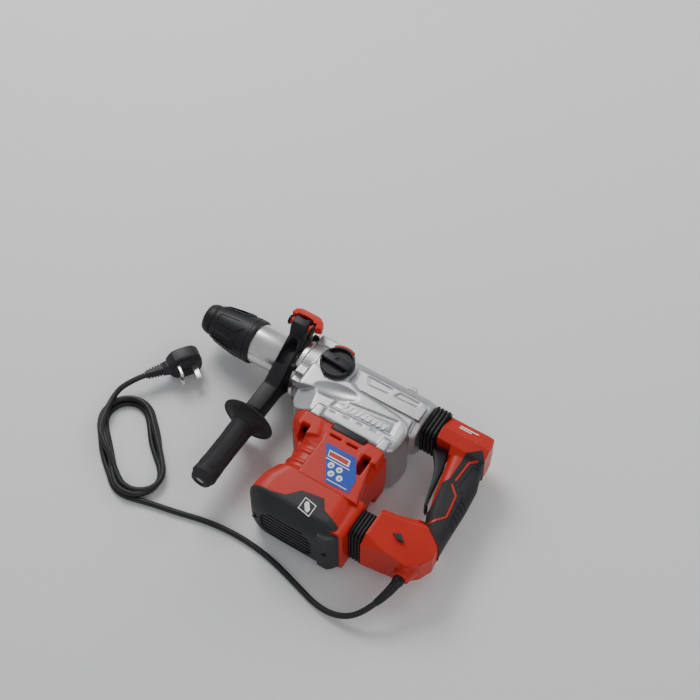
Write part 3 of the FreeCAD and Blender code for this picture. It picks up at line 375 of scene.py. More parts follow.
def loft(name, axis, sections):
    """Bridges rounded rectangles given as (level, a0, a1, b0, b1, corner radius)."""
    rings = [ring_of(section(*row, axis)) for row in sections]
    only(*rings)
    bpy.ops.object.join()
    piece = bpy.context.object
    piece.name = name
    count = len(piece.data.vertices) // len(sections)
    bpy.ops.object.mode_set(mode="EDIT")
    bpy.ops.mesh.select_mode(type="VERT")
    for first in range(len(sections) - 1):
        pick_vertices(piece, range(first * count, (first + 2) * count))
        bpy.ops.mesh.bridge_edge_loops()
    for first in (0, len(sections) - 1):
        pick_vertices(piece, range(first * count, (first + 1) * count))
        bpy.ops.mesh.edge_face_add()
    bpy.ops.mesh.select_all(action="SELECT")
    bpy.ops.mesh.remove_doubles(threshold=1e-6)
    bpy.ops.mesh.normals_make_consistent(inside=False)
    bpy.ops.object.mode_set(mode="OBJECT")
    return piece


def pick_vertices(piece, numbers):
    bpy.ops.mesh.select_all(action="DESELECT")
    bpy.ops.object.mode_set(mode="OBJECT")
    for number in numbers:
        piece.data.vertices[number].select = True
    bpy.ops.object.mode_set(mode="EDIT")


def apply_modifier(piece, kind, **values):
    modifier = piece.modifiers.new(kind.lower(), kind)
    for label, value in values.items():
        setattr(modifier, label, value)
    only(piece)
    bpy.ops.object.modifier_apply(modifier=modifier.name)
    return piece


def combine(piece, operation, tools):
    for tool in tools:
        apply_modifier(piece, "BOOLEAN", object=tool, operation=operation, solver="EXACT")
        bpy.data.objects.remove(tool)
    return piece


def join(piece, *tools):
    return combine(piece, "UNION", tools)


def cut(piece, *tools):
    return combine(piece, "DIFFERENCE", tools)


def common(piece, *tools):
    return combine(piece, "INTERSECT", tools)


def bevel(piece, width, segments=3, angle=30):
    return apply_modifier(piece, "BEVEL", width=width * MM, segments=segments, limit_method="ANGLE",
                          angle_limit=math.radians(angle), harden_normals=False)


def melt(piece, grain=1.0, passes=3):
    """Rebuilds the skin on an even grid and smooths it, which rounds every edge and corner as a mould does."""
    apply_modifier(piece, "REMESH", mode="VOXEL", voxel_size=grain * MM, use_smooth_shade=True)
    return apply_modifier(piece, "SMOOTH", factor=0.5, iterations=passes)


def duplicate(piece, name):
    only(piece)
    bpy.ops.object.duplicate()
    twin = bpy.context.object
    twin.name = name
    return twin


def grown(piece, amount, name):
    """A copy whose skin is pushed out along its normals by an amount in millimetres and rebuilt."""
    twin = apply_modifier(duplicate(piece, name), "DISPLACE", strength=amount * MM, mid_level=0)
    return melt(twin, 0.8, 1)


def strip(name, points, width, low, high):
    """A prism of constant width along an open line of (X, Y) points."""
    left, right = [], []
    for number, (x, y) in enumerate(points):
        before = points[max(number - 1, 0)]
        after = points[min(number + 1, len(points) - 1)]
        ahead = Vector((after[0] - x, after[1] - y)) if number < len(points) - 1 else Vector((x - before[0], y - before[1]))
        behind = Vector((x - before[0], y - before[1])) if number else ahead
        along = (ahead.normalized() + behind.normalized()).normalized()
        reach = width / 2 / max(along.dot(ahead.normalized()), 0.5)
        left.append((x - along.y * reach, y + along.x * reach))
        right.append((x + along.y * reach, y - along.x * reach))
    return prism(name, left + right[::-1], low, high)


def smooth(piece, angle=30):
    only(piece)
    bpy.ops.object.shade_smooth_by_angle(angle=math.radians(angle))
    return piece


def copy_turned(piece, degrees, axis, centre=(0, 0, 0)):
    """A copy with its own mesh, turned about a line through a centre in millimetres."""
    twin = piece.copy()
    twin.data = piece.data.copy()
    scene.collection.objects.link(twin)
    middle = Matrix.Translation(Vector(centre) * MM)
    twin.data.transform(middle @ Matrix.Rotation(math.radians(degrees), 4, axis) @ middle.inverted())
    return twin


def show(piece, material, body, *stands_for):
    """Gives a finished piece its finish, its body and the working pieces that it stands for."""
    piece.data.materials.clear()
    piece.data.materials.append(FINISHES[material])
    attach(piece, body)
    if stands_for:
        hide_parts(*stands_for)
    print(piece.name, len(piece.data.polygons) if piece.type == "MESH" else "curve")
    return piece


# %% [markdown]
# ## The mains lead
# A rubber lead is one length of something springy.  It leaves its strain relief under the handle, drops to the
# floor, runs forward past the motor, lies in three loose loops and ends in its plug.  The loops are worked out
# as turns of a long racetrack: the first on the floor outside, the next inside it, the last on top of both.

# %% Lead route
LEAD_ROUTE = [(0.430, -0.243, -0.014), (0.420, -0.262, -0.025), (0.396, -0.276, -0.039), (0.362, -0.277, -0.0459),
              (0.318, -0.264, -0.0459), (0.270, -0.251, -0.0459), (0.222, -0.246, -0.0459),
              (0.172, -0.250, -0.0459), (0.125, -0.262, -0.0459), (0.088, -0.2695, -0.0459)]
TAIL_ROUTE = [(-0.051, -0.163, -0.034), (-0.045, -0.138, -0.029), (-0.030, -0.116, -0.027)]
LEAD_DIAMETER, LEAD_FLOOR = 0.008, -0.0459
COIL_CENTRE, COIL_TURN, COIL_REACH = (0.018, -0.212), math.radians(-43), 0.045


def racetrack(travel, reach, radius):
    """A point on a straight-sided loop, clockwise from its far tip, and how far along the straight it is."""
    quarter = math.pi * radius / 2
    marks = [quarter, quarter + 2 * reach, 3 * quarter + 2 * reach, 3 * quarter + 4 * reach]
    travel %= 4 * quarter + 4 * reach
    if travel < marks[0]:
        return reach + radius * math.cos(travel / radius), -radius * math.sin(travel / radius)
    if travel < marks[1]:
        return reach - (travel - marks[0]), -radius
    if travel < marks[2]:
        turn = math.pi / 2 + (travel - marks[1]) / radius
        return -reach + radius * math.cos(turn), -radius * math.sin(turn)
    if travel < marks[3]:
        return -reach + (travel - marks[2]), radius
    turn = math.pi / 2 - (travel - marks[3]) / radius
    return reach + radius * math.cos(turn), radius * math.sin(turn)


def between(stations, at):
    """A value that changes smoothly between (place, value) stations."""
    for (start, low_value), (end, high_value) in zip(stations, stations[1:]):
        if at <= end:
            share = max(0.0, (at - start) / (end - start))
            return low_value + (high_value - low_value) * share * share * (3 - 2 * share)
    return stations[-1][1]


COIL_RADII = [(0.0, 0.0375), (0.55, 0.0385), (0.9, 0.0300), (1.85, 0.0300), (2.1, 0.0345), (2.9, 0.0345),
              (3.05, 0.0265), (3.22, 0.0290), (3.36, 0.0400)]
COIL_LEVELS = [(0.0, LEAD_FLOOR), (1.85, LEAD_FLOOR), (2.08, -0.0388), (3.0, -0.0388), (3.15, -0.0380),
               (3.28, -0.0315), (3.36, -0.0325)]
COIL_START, COIL_END, COIL_POINTS = 0.075, 3.335, 66


def coil_route():
    route = []
    for number in range(COIL_POINTS + 1):
        turns = COIL_START + (COIL_END - COIL_START) * number / COIL_POINTS
        radius = between(COIL_RADII, turns)
        round_trip = 4 * COIL_REACH + 2 * math.pi * radius
        along, across = racetrack((turns % 1) * round_trip, COIL_REACH, radius)
        loose = math.cos(math.pi * min(abs(along) / COIL_REACH, 1) / 2) ** 2
        across += math.copysign(loose, across) * 0.004 * math.sin(2.1 * turns + 0.6)
        x = COIL_CENTRE[0] + along * math.cos(COIL_TURN) - across * math.sin(COIL_TURN)
        y = COIL_CENTRE[1] + along * math.sin(COIL_TURN) + across * math.cos(COIL_TURN)
        route.append((x, y, between(COIL_LEVELS, turns)))
    return route


def smooth_curve(name, route, radius):
    """One open NURBS spline with the route's points as its control points."""
    curve = bpy.data.curves.new(name, "CURVE")
    curve.dimensions = "3D"
    spline = curve.splines.new("NURBS")
    spline.points.add(len(route) - 1)
    for point, place in zip(spline.points, route):
        point.co = (*place, 1)
    spline.order_u = 3
    spline.use_endpoint_u = True
    spline.resolution_u = 8
    curve.bevel_depth = radius
    curve.bevel_resolution = 5
    curve.use_fill_caps = True
    piece = bpy.data.objects.new(name, curve)
    scene.collection.objects.link(piece)
    return piece


lead = smooth_curve("mains_lead", LEAD_ROUTE + coil_route() + TAIL_ROUTE, LEAD_DIAMETER / 2)
lead_line = lead.copy()
lead_line.data = lead.data.copy()
lead_line.data.bevel_depth = 0
scene.collection.objects.link(lead_line)
bpy.context.view_layer.update()
line = bpy.data.meshes.new_from_object(lead_line.evaluated_get(bpy.context.evaluated_depsgraph_get()))
bpy.data.objects.remove(lead_line)
show(lead, "cord_rubber", "handle", "cord_lead", "cord_coil", "cord_tail")

# %% [markdown]
# ## Strain relief
# Where the lead leaves the handle, a glossy rubber sleeve keeps it from bending sharply.  It is thick at the
# handle, tapers to the lead and follows the lead's first bend, so its rings are set along a short curve.

# %% Strain relief
def along_curve(start, middle, end, share):
    """A point and a direction on the arc-like curve that three points guide."""
    point = start * (1 - share) ** 2 + middle * 2 * share * (1 - share) + end * share ** 2
    return point, ((middle - start) * (1 - share) + (end - middle) * share).normalized()


def sleeve_on_curve(name, guide, radii, sides=28):
    """Rings of the given radii, evenly spaced along the guide's curve and bridged."""
    start, middle, end = (Vector(point) for point in guide)
    rings = []
    for number, radius in enumerate(radii):
        point, ahead = along_curve(start, middle, end, number / (len(radii) - 1))
        across = ahead.cross(Vector((0, 0, 1))).normalized()
        above = across.cross(ahead)
        turns = [2 * math.pi * side / sides for side in range(sides)]
        rings.append(ring_of([point + (across * math.cos(t) + above * math.sin(t)) * radius for t in turns]))
    only(*rings)
    bpy.ops.object.join()
    piece = bpy.context.object
    piece.name = name
    bpy.ops.object.mode_set(mode="EDIT")
    bpy.ops.mesh.select_mode(type="VERT")
    for first in range(len(radii) - 1):
        pick_vertices(piece, range(first * sides, (first + 2) * sides))
        bpy.ops.mesh.bridge_edge_loops()
    for first in (0, len(radii) - 1):
        pick_vertices(piece, range(first * sides, (first + 1) * sides))
        bpy.ops.mesh.edge_face_add()
    bpy.ops.mesh.select_all(action="SELECT")
    bpy.ops.mesh.normals_make_consistent(inside=False)
    bpy.ops.object.mode_set(mode="OBJECT")
    return smooth(piece, 40)


RELIEF_GUIDE = [(441, -196, 0), (441, -224, -2), (429, -245, -15)]
relief = sleeve_on_curve("strain_relief_sleeve", RELIEF_GUIDE,
                         [6.4, 6.4, 6.4, 8.0, 8.0, 6.6, 6.5, 6.35, 6.2, 6.0, 5.8, 5.6, 5.3, 5.0, 4.7])
show(relief, "rubber", "handle", "strain_relief")

# %% [markdown]
# ## The plug
# A moulded mains plug has a thick rounded body, a flat face with three pins and a ribbed relief on its cord.
# It is modelled square to the axes, then turned to where it lies.

# %% Plug
PLUG_CENTRE, PLUG_TURN = Vector((3.3, -68.5, -27.0)), math.radians(-35)
plug_place = Matrix.Translation(PLUG_CENTRE * MM) @ Matrix.Rotation(PLUG_TURN, 4, "Z")

plug = prism("plug_shell", [(-24, -9), (-24, 9), (-20, 15), (-14, 21), (-4, 23), (8, 22.6), (17, 20), (22, 14),
                            (24, 6), (24, -6), (22, -14), (17, -20), (8, -22.6), (-4, -23), (-14, -21),
                            (-20, -15)], -10.8, 9.6, "X")
bevel(plug, 2.6, 4, 40)
face = prism("plug_face", [(-19, -8), (-19, 8), (-10, 18.5), (10, 18.5), (19, 10), (19, -10), (10, -18.5),
                           (-10, -18.5)], 9, 10.8, "X")
bevel(face, 0.8, 2, 40)
join(plug, face)
neck_rows = [(-23, -9, 9, -9.5, 9.5, 5), (-30, -8, 8, -8.5, 8.5, 5)]
for rib in range(6):
    level = -31 - 4.2 * rib
    wide, thin = 7.9 - 0.35 * rib, 6.4 - 0.3 * rib
    neck_rows += [(level, -wide, wide, -wide, wide, 4), (level - 2.0, -wide, wide, -wide, wide, 4),
                  (level - 2.4, -thin, thin, -thin, thin, 4), (level - 3.8, -thin, thin, -thin, thin, 4)]
neck_rows.append((-57.5, -4.6, 4.6, -4.6, 4.6, 4))
join(plug, loft("plug_ribs", "Y", neck_rows))
fuse_lid = box("fuse_lid", (10.2, -6, -3.4), (11.4, 5, 3.4))
cut(plug, fuse_lid)
plug.data.transform(plug_place)
smooth(plug, 32)
show(plug, "plug_plastic", "handle", "plug_body")


def plug_pin(name, corner, size):
    end = [a + b for a, b in zip(corner, size)]
    pin = bevel(box(name, corner, end), 0.7, 3, 40)
    pin.data.transform(plug_place)
    return smooth(pin, 35)


pins = [plug_pin("pin_earth", (10.5, 7.1, -2), (23.2, 8, 4)), plug_pin("pin_live", (10.5, -13.1, 7.9), (18.2, 4, 6.3)),
        plug_pin("pin_neutral", (10.5, -13.1, -14.3), (18.2, 4, 6.3))]
only(*pins)
bpy.ops.object.join()
pins = bpy.context.object
pins.name = "plug_blades"
show(pins, "pin_metal", "handle", "plug_pins")

# %% [markdown]
# ## Chuck
# The tool holder's rubber cap comes first, then a black sleeve that slides back to free the tool.  The sleeve
# swells towards the rear and carries six raised pointed pads for the hand.  Each pad is what a pointed prism
# shares with a slightly larger sleeve, so it follows the curve.

# %% Dust cap and sleeve
cap = turned("rubber_dust_cap", [(0, 12), (0, 17.5), (0.8, 19.2), (3.2, 20.6), (8, 22), (14.2, 22.6), (15.6, 22),
                                 (16, 21), (16, 15.4), (11, 15.2), (11, 12)])
show(smooth(cap, 40), "rubber", "spindle", "dust_cap")

SLEEVE_OUTLINE = [(16.6, 24.0), (17.4, 24.8), (30, 27.3), (45, 29.6), (60, 31.4), (72, 32.4), (80, 32.7),
                  (83.6, 32.5), (85, 31.8)]
SLEEVE_INSIDE = [(85, 29.9), (62, 29.9), (57.6, 20.1), (42.4, 20.1), (30, 23.4), (18, 22.8), (16.6, 22.8)]


def sleeve_skin(name, proud):
    grown = [(along, radius + proud) for along, radius in SLEEVE_OUTLINE]
    return turned(name, grown + [(85, 30.4), (58, 30.4), (40, 25), (16.6, 23.2)])


sleeve = turned("chuck_grip_sleeve", SLEEVE_OUTLINE + SLEEVE_INSIDE, steps=96)
for number in range(6):
    pad = prism("pad", [(22, -8), (22, 8), (58, 10), (68, 0), (58, -10)], 10, 40)
    dip = prism("dip", [(24.5, -5.4), (24.5, 5.4), (56.5, 7.2), (64, 0), (56.5, -7.2)], 10, 40)
    rim = cut(pad, dip)
    floor_of_pad = prism("pad_floor", [(23, -7), (23, 7), (57.5, 9), (66.5, 0), (57.5, -9)], 10, 40)
    common(rim, sleeve_skin("over", 1.1))
    common(floor_of_pad, sleeve_skin("over", 0.45))
    only(rim, floor_of_pad)
    bpy.ops.object.join()
    bpy.context.object.data.transform(Matrix.Rotation(math.radians(60 * number + 14), 4, "X"))
    sleeve = join(sleeve, bpy.context.object)
cut(sleeve, turned("sleeve_groove", [(76, 31.9), (76, 34), (77.2, 34), (77.2, 31.9)]))
show(smooth(sleeve, 25), "black_plastic", "sleeve", "chuck_sleeve")

# %% [markdown]
# ## Side handle
# A moulded arm is clamped round the neck and swings to any side.  It carries an ear for the depth rod, a red
# lever that frees the rod, and the front grip on a stud.  The arm is one prism along the hammer axis with
# bevelled edges; its window, bore and rod hole are cut afterwards so that they stay crisp.

# %% Bracket, pin bosses and lever
BRACKET_FRONT, BRACKET_REAR = 132.5, 155.5
arm = prism("clamp_bracket", [(-100, -15), (-52, -15), (-34, -24), (-22, -34), (-8, -38.6), (16, -37), (32, -24),
                              (38, -6), (38, 12), (34, 30), (34, 62), (29, 69), (17, 69), (11, 63), (7, 49),
                              (-25, 32), (-57, 15), (-100, 15)], BRACKET_FRONT, BRACKET_REAR, "X")
bevel(arm, 2.2, 3, 12)
cut(arm, turned("neck_bore", [(120, 0), (120, 29.1), (170, 29.1), (170, 0)], steps=96),
    turned("rod_hole", [(120, 0), (120, 4.1), (170, 4.1), (170, 0)], centre=(0, 19, 45)),
    common(prism("window", [(134.8, -29), (153.2, -29), (153.2, -6), (148, 6), (140, 6), (134.8, -6)], 20, 75),
           prism("window_depth", [(-40, 76), (-40, 19), (-24, 24), (-8, 30.6), (8, 30.6), (8, 76)], 130, 160, "X")),
    prism("ear_slot", [(139.5, 40), (139.5, 28), (148.5, 28), (148.5, 40)], 52, 75))
bevel(arm, 0.45, 2, 40)
show(smooth(arm, 30), "black_plastic", "side_handle", "side_bracket")

bosses = [turned("pin_boss", [(x, 0), (x, 6.2), (x + 0.6, 7), (x + 2.6, 7), (x + 3.2, 6.2), (x + 3.2, 0)],
                 centre=(0, 23, 60), steps=32) for x in (124.6, 159.9)]
only(*bosses)
bpy.ops.object.join()
bosses = bpy.context.object
bosses.name = "lever_pin_caps"
show(smooth(bosses, 35), "dark_steel", "side_handle")

lever = prism("release_lever", [(123.6, 30), (124.6, 42), (130, 46.4), (140, 49), (152, 48.4), (162, 44.6),
                                (169.6, 38), (173, 29), (173, 26.5), (163.4, 23), (159.7, 30), (153, 34.4),
                                (144, 35.4), (136, 34), (132, 30.4), (131, 29)], 44, 69)
leaf = prism("leaf", [(20, 55), (20, 66), (27, 68.4), (36, 66.5), (46, 61), (52, 53), (50, 47.5), (44, 50), (34, 54)],
             115, 176, "X")
common(lever, leaf)
bevel(lever, 1.3, 3, 30)
cut(lever, box("ear_room", (131.4, 0, 40), (156.6, 34, 75)), box("boss_room", (120, 10, 50), (132, 31, 70)),
    box("rear_boss_room", (156, 10, 50), (164.4, 31, 70)))
front_eye = turned("front_eye", [(128, 0), (128, 5.6), (132.2, 5.6), (132.2, 0)], centre=(0, 23, 60), steps=40)
rear_eye = turned("rear_eye", [(156.0, 0), (156.0, 5.6), (159.7, 5.6), (159.7, 0)], centre=(0, 23, 60), steps=40)
join(lever, front_eye, rear_eye)
show(smooth(lever, 35), "red_plastic", "depth_lever", "depth_lever")

# %% [markdown]
# ## Front grip
# The grip is turned: a domed disc keeps the hand off the work, and long shallow pads run down the barrel.  The
# pads are rounded bars, kept only where a slightly larger grip reaches.

# %% Front grip
GRIP_OUTLINE = [(-100.9, 13.5), (-104, 16.2), (-106.2, 22), (-108.6, 31), (-110.6, 37.2), (-111.6, 38.5),
                (-112.8, 38.4), (-113.6, 37), (-113.2, 33), (-113.8, 28.6), (-117.5, 23.5), (-121.6, 20.4),
                (-124.4, 19.2), (-125.2, 17.6), (-134, 16.7), (-160, 15.9), (-190, 16.2), (-208, 17.3),
                (-213, 17.9), (-216.4, 17.8), (-218, 16.4), (-223, 14.8), (-225.4, 13.2), (-226, 11)]
grip = turned("front_grip", GRIP_OUTLINE + [(-226, 7), (-220.2, 7), (-220.2, 5), (-100.9, 5)], "Y", (144, 0, 0), 96)
for number in range(6):
    pad = loft("grip_pad", "Z", [(8, 144 - 5.6, 144 + 5.6, -207, -131, 5.4), (30, 144 - 5.6, 144 + 5.6, -207, -131, 5.4)])
    skin = turned("grip_skin", [(-128, 0), (-128, 17.6), (-134, 17.3), (-160, 16.6), (-190, 16.9), (-209, 18.0),
                                (-211, 0)], "Y", (144, 0, 0), 96)
    common(pad, skin)
    bevel(pad, 0.35, 2, 40)
    pad.data.transform(Matrix.Translation(Vector((144, 0, 0)) * MM) @ Matrix.Rotation(math.radians(60 * number + 20), 4, "Y")
                       @ Matrix.Translation(Vector((-144, 0, 0)) * MM))
    grip = join(grip, pad)
show(smooth(grip, 30), "soft_grip", "side_grip", "side_grip")

# %% [markdown]
# ## Gear housing
# The housing is one aluminium casting: the hammer barrel, a deep block for the gears, a boss for the selector
# and lugs for the neck screws.  The shapes are joined, the dish, panels and pockets are cut, and the whole is
# rebuilt on a one-millimetre grid and smoothed.  That gives the soft fillets of sand-blasted castings.

# %% Gear housing
casting = turned("gear_casting", [(170.2, 0), (170.2, 44.6), (190, 44.6), (203, 42.5), (214, 39.6), (340, 39.6), (350, 38.6),
                                  (355.6, 35.4), (357, 33), (357, 0)], steps=96)
block = prism("block", [(184, -10), (185, -48), (189, -68), (198, -82), (343, -82), (350, -76), (353, -60), (353, -44),
                        (349, -33), (339, -26), (325, -22.5), (291, -19), (262, -17), (250, -12)], -49.6, 50)
bevel(block, 6, 4, 50)
flat = prism("top_flat", [(236, -14), (352, -14), (352, 8), (345, 14), (240, 14)], 10, 41.4)
spine = prism("spine", [(300, 20), (306, 44), (318, 44), (324, 20)], -14, 14)
shoulder = prism("shoulder", [(262, -20), (330, -22), (345, -30), (345, 0), (240, 0)], 20, 38)
boss = turned("boss", [(0, 0), (0, 33), (30, 32), (40, 29.4), (49.5, 27.2), (49.5, 0)], "Z", (216, 0, 0), 72)
join(casting, block, flat, spine, shoulder, boss)
for side in (1, -1):
    long_lug = box("long_lug", (170.2, -35.5 if side > 0 else -34, 26), (209, -21, 43.4))
    low_lug = box("low_lug", (170.2, -44, 20), (198, -33, 33.5))
    top_lug = box("top_lug", (170.2, 20.5, 28), (200, 34.5, 43.4))
    if side < 0:
        for lug in (long_lug, low_lug, top_lug):
            lug.data.transform(Matrix.Scale(-1, 4, (0, 0, 1)))
            lug.data.flip_normals()
    join(casting, long_lug, low_lug, top_lug)
for x in (234, 335):
    join(casting, prism("screw_pad", [(x - 7, -84), (x + 7, -84), (x + 6, -66), (x - 5, -66)], 30, 52.4))
bpy.ops.mesh.primitive_uv_sphere_add(segments=64, ring_count=40, radius=0.04)
dish = bpy.context.object
dish.data.transform(Matrix.Translation(Vector((238, -38, 85)) * MM) @ Matrix.Rotation(math.radians(12), 4, "Z")
                    @ Matrix.Diagonal((1.7, 0.66, 1, 1)))
panel_front = prism("panel_front", [(258, 12), (300, 11), (296, 1), (266, -1)], 40.2, 60)
panel_rear = prism("panel_rear", [(309, 11), (341, 11), (340, 3.5), (303, 1)], 40.2, 60)
name_recess = prism("name_recess", [(247, -44), (334, -33), (337, -58), (243, -63)], 48.7, 60)
lower_step = prism("lower_step", [(247, -66), (326, -61.5), (326, -63.5), (247, -68)], 48.8, 60)
facet = prism("facet", [(170, 26), (184, 30), (221, 51), (221, 62), (170, 62)], -100, -50, "Y")
facet.data.transform(Matrix.Translation(Vector((196, -48, 0)) * MM) @ Matrix.Rotation(math.radians(14), 4, "Z")
                     @ Matrix.Translation(Vector((-200, 48, 0)) * MM))
slot_recess = box("slot_recess", (263, -90, 46), (314, -79.5, 60))
tube_bore = turned("tube_bore", [(168, 0), (168, 19.6), (290, 19.6), (290, 0)], steps=48)
cut(casting, dish, panel_front, panel_rear, name_recess, lower_step, facet, slot_recess, tube_bore)
melt(casting, 1.15, 4)
show(smooth(casting, 60), "cast_alloy", "root", "gear_housing")

plate = prism("raised_plate", [(252, -49.5), (329, -39), (331.5, -54.5), (247, -58.5)], 48.4, 49.7)
bevel(plate, 0.5, 2, 30)
for number in range(9):
    x = 258 + 7.6 * number
    bar = prism("plate_bar", [(x, -56), (x + 3.6, -55.7), (x + 6.6, -47), (x + 3, -47.4)], 49.4, 50.4)
    join(plate, bar)
show(smooth(plate, 30), "cast_alloy", "root")

neck = turned("turned_neck", [(76, 24.2), (76, 28.4), (76.8, 29), (128, 29), (129, 28.6), (130, 29), (163, 29), (163, 43.8),
                              (163.8, 44.6), (169.2, 44.6), (169.9, 44), (169.9, 24.2)], steps=128)
show(smooth(neck, 30), "bright_steel", "root", "front_neck")

# %% [markdown]
# ## Mode knob
# A round black knob with a deep finger bar turns on the boss.  A red ring under one edge marks its positions.

# %% Mode knob
knob = turned("selector_knob", [(50.4, 0), (50.4, 23.2), (51.2, 24), (56.4, 24), (57.6, 22.8), (57.6, 0)], "Z", (216, 0, 0), 72)
well = turned("well", [(52.6, 0), (52.6, 20.6), (58.6, 21.6), (58.6, 0)], "Z", (216, 0, 0), 72)
cut(knob, well)
bar = prism("finger_bar", [(193.6, -6.2), (238.4, -6.2), (238.9, 0), (238.4, 6.2), (193.6, 6.2), (193.1, 0)], 51, 60.2)
bevel(bar, 1.6, 3, 30)
join(knob, common(bar, turned("bar_limit", [(50, 0), (50, 23.4), (61, 22.6), (61, 0)], "Z", (216, 0, 0), 72)))
for number in range(18):
    turn = 2 * math.pi * number / 18
    x, y = 216 + 24.4 * math.cos(turn), 24.4 * math.sin(turn)
    cut(knob, turned("flute", [(50, 0), (50, 1.3), (56, 1.3), (56, 0)], "Z", (x, y, 0), 12))
cut(knob, turned("screw_seat", [(57.9, 0), (57.9, 3.8), (61, 3.8), (61, 0)], "Z", (216, 0, 0), 32))
knob.data.transform(Matrix.Translation(Vector((216, 0, 0)) * MM) @ Matrix.Rotation(math.radians(-4), 4, "Z")
                    @ Matrix.Translation(Vector((-216, 0, 0)) * MM))
show(smooth(knob, 30), "black_plastic", "selector", "mode_knob")

mark = turned("mode_mark", [(48.5, 24.9), (48.5, 28.2), (54.6, 28.2), (55.6, 27.4), (55.6, 24.9)], "Z", (216, 0, 0), 96)
common(mark, prism("mark_span", [(216, 0), (190, 31), (200, 46), (234, 46), (232, 34)], 40, 60))
show(smooth(mark, 30), "red_plastic", "root")

# %% [markdown]
# ## Motor housing and foot
# The red motor housing has a wide flange, a waist with ribs and a flat raised panel for the label.  Each screw
# sits in a pocket that opens upwards beside a square boss.  The foot below it widens again and runs back to
# the lower bellows.  Both are lofts whose sections are rounded rectangles across the motor axis.

# %% Motor housing
def motor_skin(name, extra):
    rows = [(-82, 206, 344, 48, 22), (-86, 204, 346, 50, 24), (-98, 207, 346, 50, 24), (-107, 213, 345, 48.6, 26),
            (-118, 224, 344, 46.6, 28), (-125, 232, 343.5, 46, 28), (-146, 233, 344, 46, 28), (-163, 231, 344.5, 46.5, 28),
            (-170, 228, 346, 47, 28)]
    return loft(name, "Y", [(y, x0 - extra, x1 + extra, -half - extra, half + extra, r) for y, x0, x1, half, r in rows])


FLOOR = -49.9


def both_sides(name, corners, low, high):
    upper = prism(name, corners, low, high)
    return join(upper, prism(name, corners, max(-high, FLOOR), -low))


motor = motor_skin("motor_cover", 0)
panel = both_sides("panel", [(262, -88), (331, -88), (337, -112), (349, -160), (353, -168), (262, -168)], 20, 50)
front_boss = both_sides("front_boss", [(221, -83.5), (247, -83.5), (255.5, -108), (238, -115), (221, -104)], 12, 51.4)
rear_boss = both_sides("rear_boss", [(317, -83.5), (342.5, -83.5), (342.5, -106), (327, -109), (317, -103)], 12, 51.4)
join(motor, panel, front_boss, rear_boss)
for low, high in ((-135, -131), (-152.5, -148.5)):
    rib = common(motor_skin("rib", 1.3), box("rib_span", (225, low, -52), (261.5, high, 52)))
    join(motor, rib)
for x in (233, 327):
    for side in (1, -1):
        cut(motor, turned("screw_tube", [(-130, 0), (-130, 6.2), (-99.9, 6.2), (-99.9, 0)], "Y", (x, 0, 35 * side), 40),
            box("screw_opening", (x - 6.2, -130, min(35 * side, 60 * side)), (x + 6.2, -101, max(35 * side, 60 * side))))
for low in (-125.4, -142.4):
    groove = cut(box("groove", (225, low, -52), (261.5, low + 1.8, 52)), motor_skin("groove_floor", -0.9))
    cut(motor, groove)
for start in (267, 292):
    cut(motor, box("cooling_slot", (start, -99.2, 44), (start + 18, -96.4, 60)))
cut(motor, box("slot_recess", (263, -89, 46.5), (314, -80, 60)),
    turned("fan_room", [(-172, 0), (-172, 41), (-95, 41), (-95, 15), (-80, 15), (-80, 0)], "Y", (280, 0, 0), 72))
melt(motor, 1.1, 3)
show(smooth(motor, 60), "red_plastic", "root", "motor_housing")

slot_bar = box("service_slot", (264, -89, 45), (313, -80, 50.7))
bevel(slot_bar, 0.6, 2, 30)
show(smooth(slot_bar, 30), "black_plastic", "root")

# %% Foot and dark end cover
foot = loft("motor_foot", "Y", [(-157, 236, 350, -46, 46, 26), (-166, 227, 354, -49.6, 49.6, 26),
                                (-185, 219, 356, -50, 50, 25), (-206, 217, 357, -50, 50, 25),
                                (-211.5, 217.5, 357, -49.8, 49.8, 25)])
foot_rear = loft("foot_rear", "Y", [(-216, 335, 360, -44, 44, 6), (-158, 335, 360, -44, 44, 6)])
join(foot, foot_rear)
cut(foot, loft("foot_room", "Y", [(-218, 222, 338, -44, 44, 20), (-168, 230, 338, -42, 42, 20)]),
    turned("tube_opening", [(-175, 0), (-175, 41), (-150, 41), (-150, 0)], "Y", (280, 0, 0), 72),
    turned("lower_rod_hole", [(330, 0), (330, 5.1), (362, 5.1), (362, 0)], centre=(0, -178, 0), steps=32))
melt(foot, 1.1, 3)
show(smooth(foot, 60), "red_plastic", "root", "motor_shoe")

dome = loft("end_dome", "Y", [(-206, 218.6, 353, -48.8, 48.8, 24), (-211.4, 217.6, 353.6, -49.9, 49.9, 25),
                              (-215, 218.4, 353.4, -48.6, 48.6, 25), (-219, 222, 352, -44.5, 44.5, 24),
                              (-224, 227, 349, -38.5, 38.5, 22), (-228, 233, 345, -32.5, 32.5, 19),
                              (-230.2, 237.5, 341.5, -28, 28, 16), (-231, 240.5, 339, -25, 25, 14)])
dome_rear = prism("dome_rear", [(329.3, -207.3), (356, -207.3), (356, -214.2), (354, -218.2), (350.2, -224.1),
                                (344, -229.3), (329.3, -229.3)], -39, 39)
tab = both_sides("tab", [(216, -210.5), (246, -210.5), (268, -204), (282, -188), (313, -182.5), (323, -197),
                         (350, -206), (359, -214.6), (350, -216.3), (216, -213.3)], 18, 52)
common(tab, loft("tab_limit", "Y", [(-214, 217.6, 357.6, -49.6, 49.6, 25), (-210, 216.8, 357.6, -49.8, 50.7, 25),
                                    (-180, 218, 357, -49.8, 50.7, 25)]))
join(dome, dome_rear, tab)
cut(dome, loft("grille_opening", "Y", [(-240, 244, 322, -27, 27, 20), (-200, 244, 322, -27, 27, 20)]),
    *[turned("cover_screw_seat", [(-240, 0), (-240, 4.2), (-227.5, 4.2), (-227.5, 0)], "Y", (x, 0, 0), 32)
      for x in (234.5, 341)])
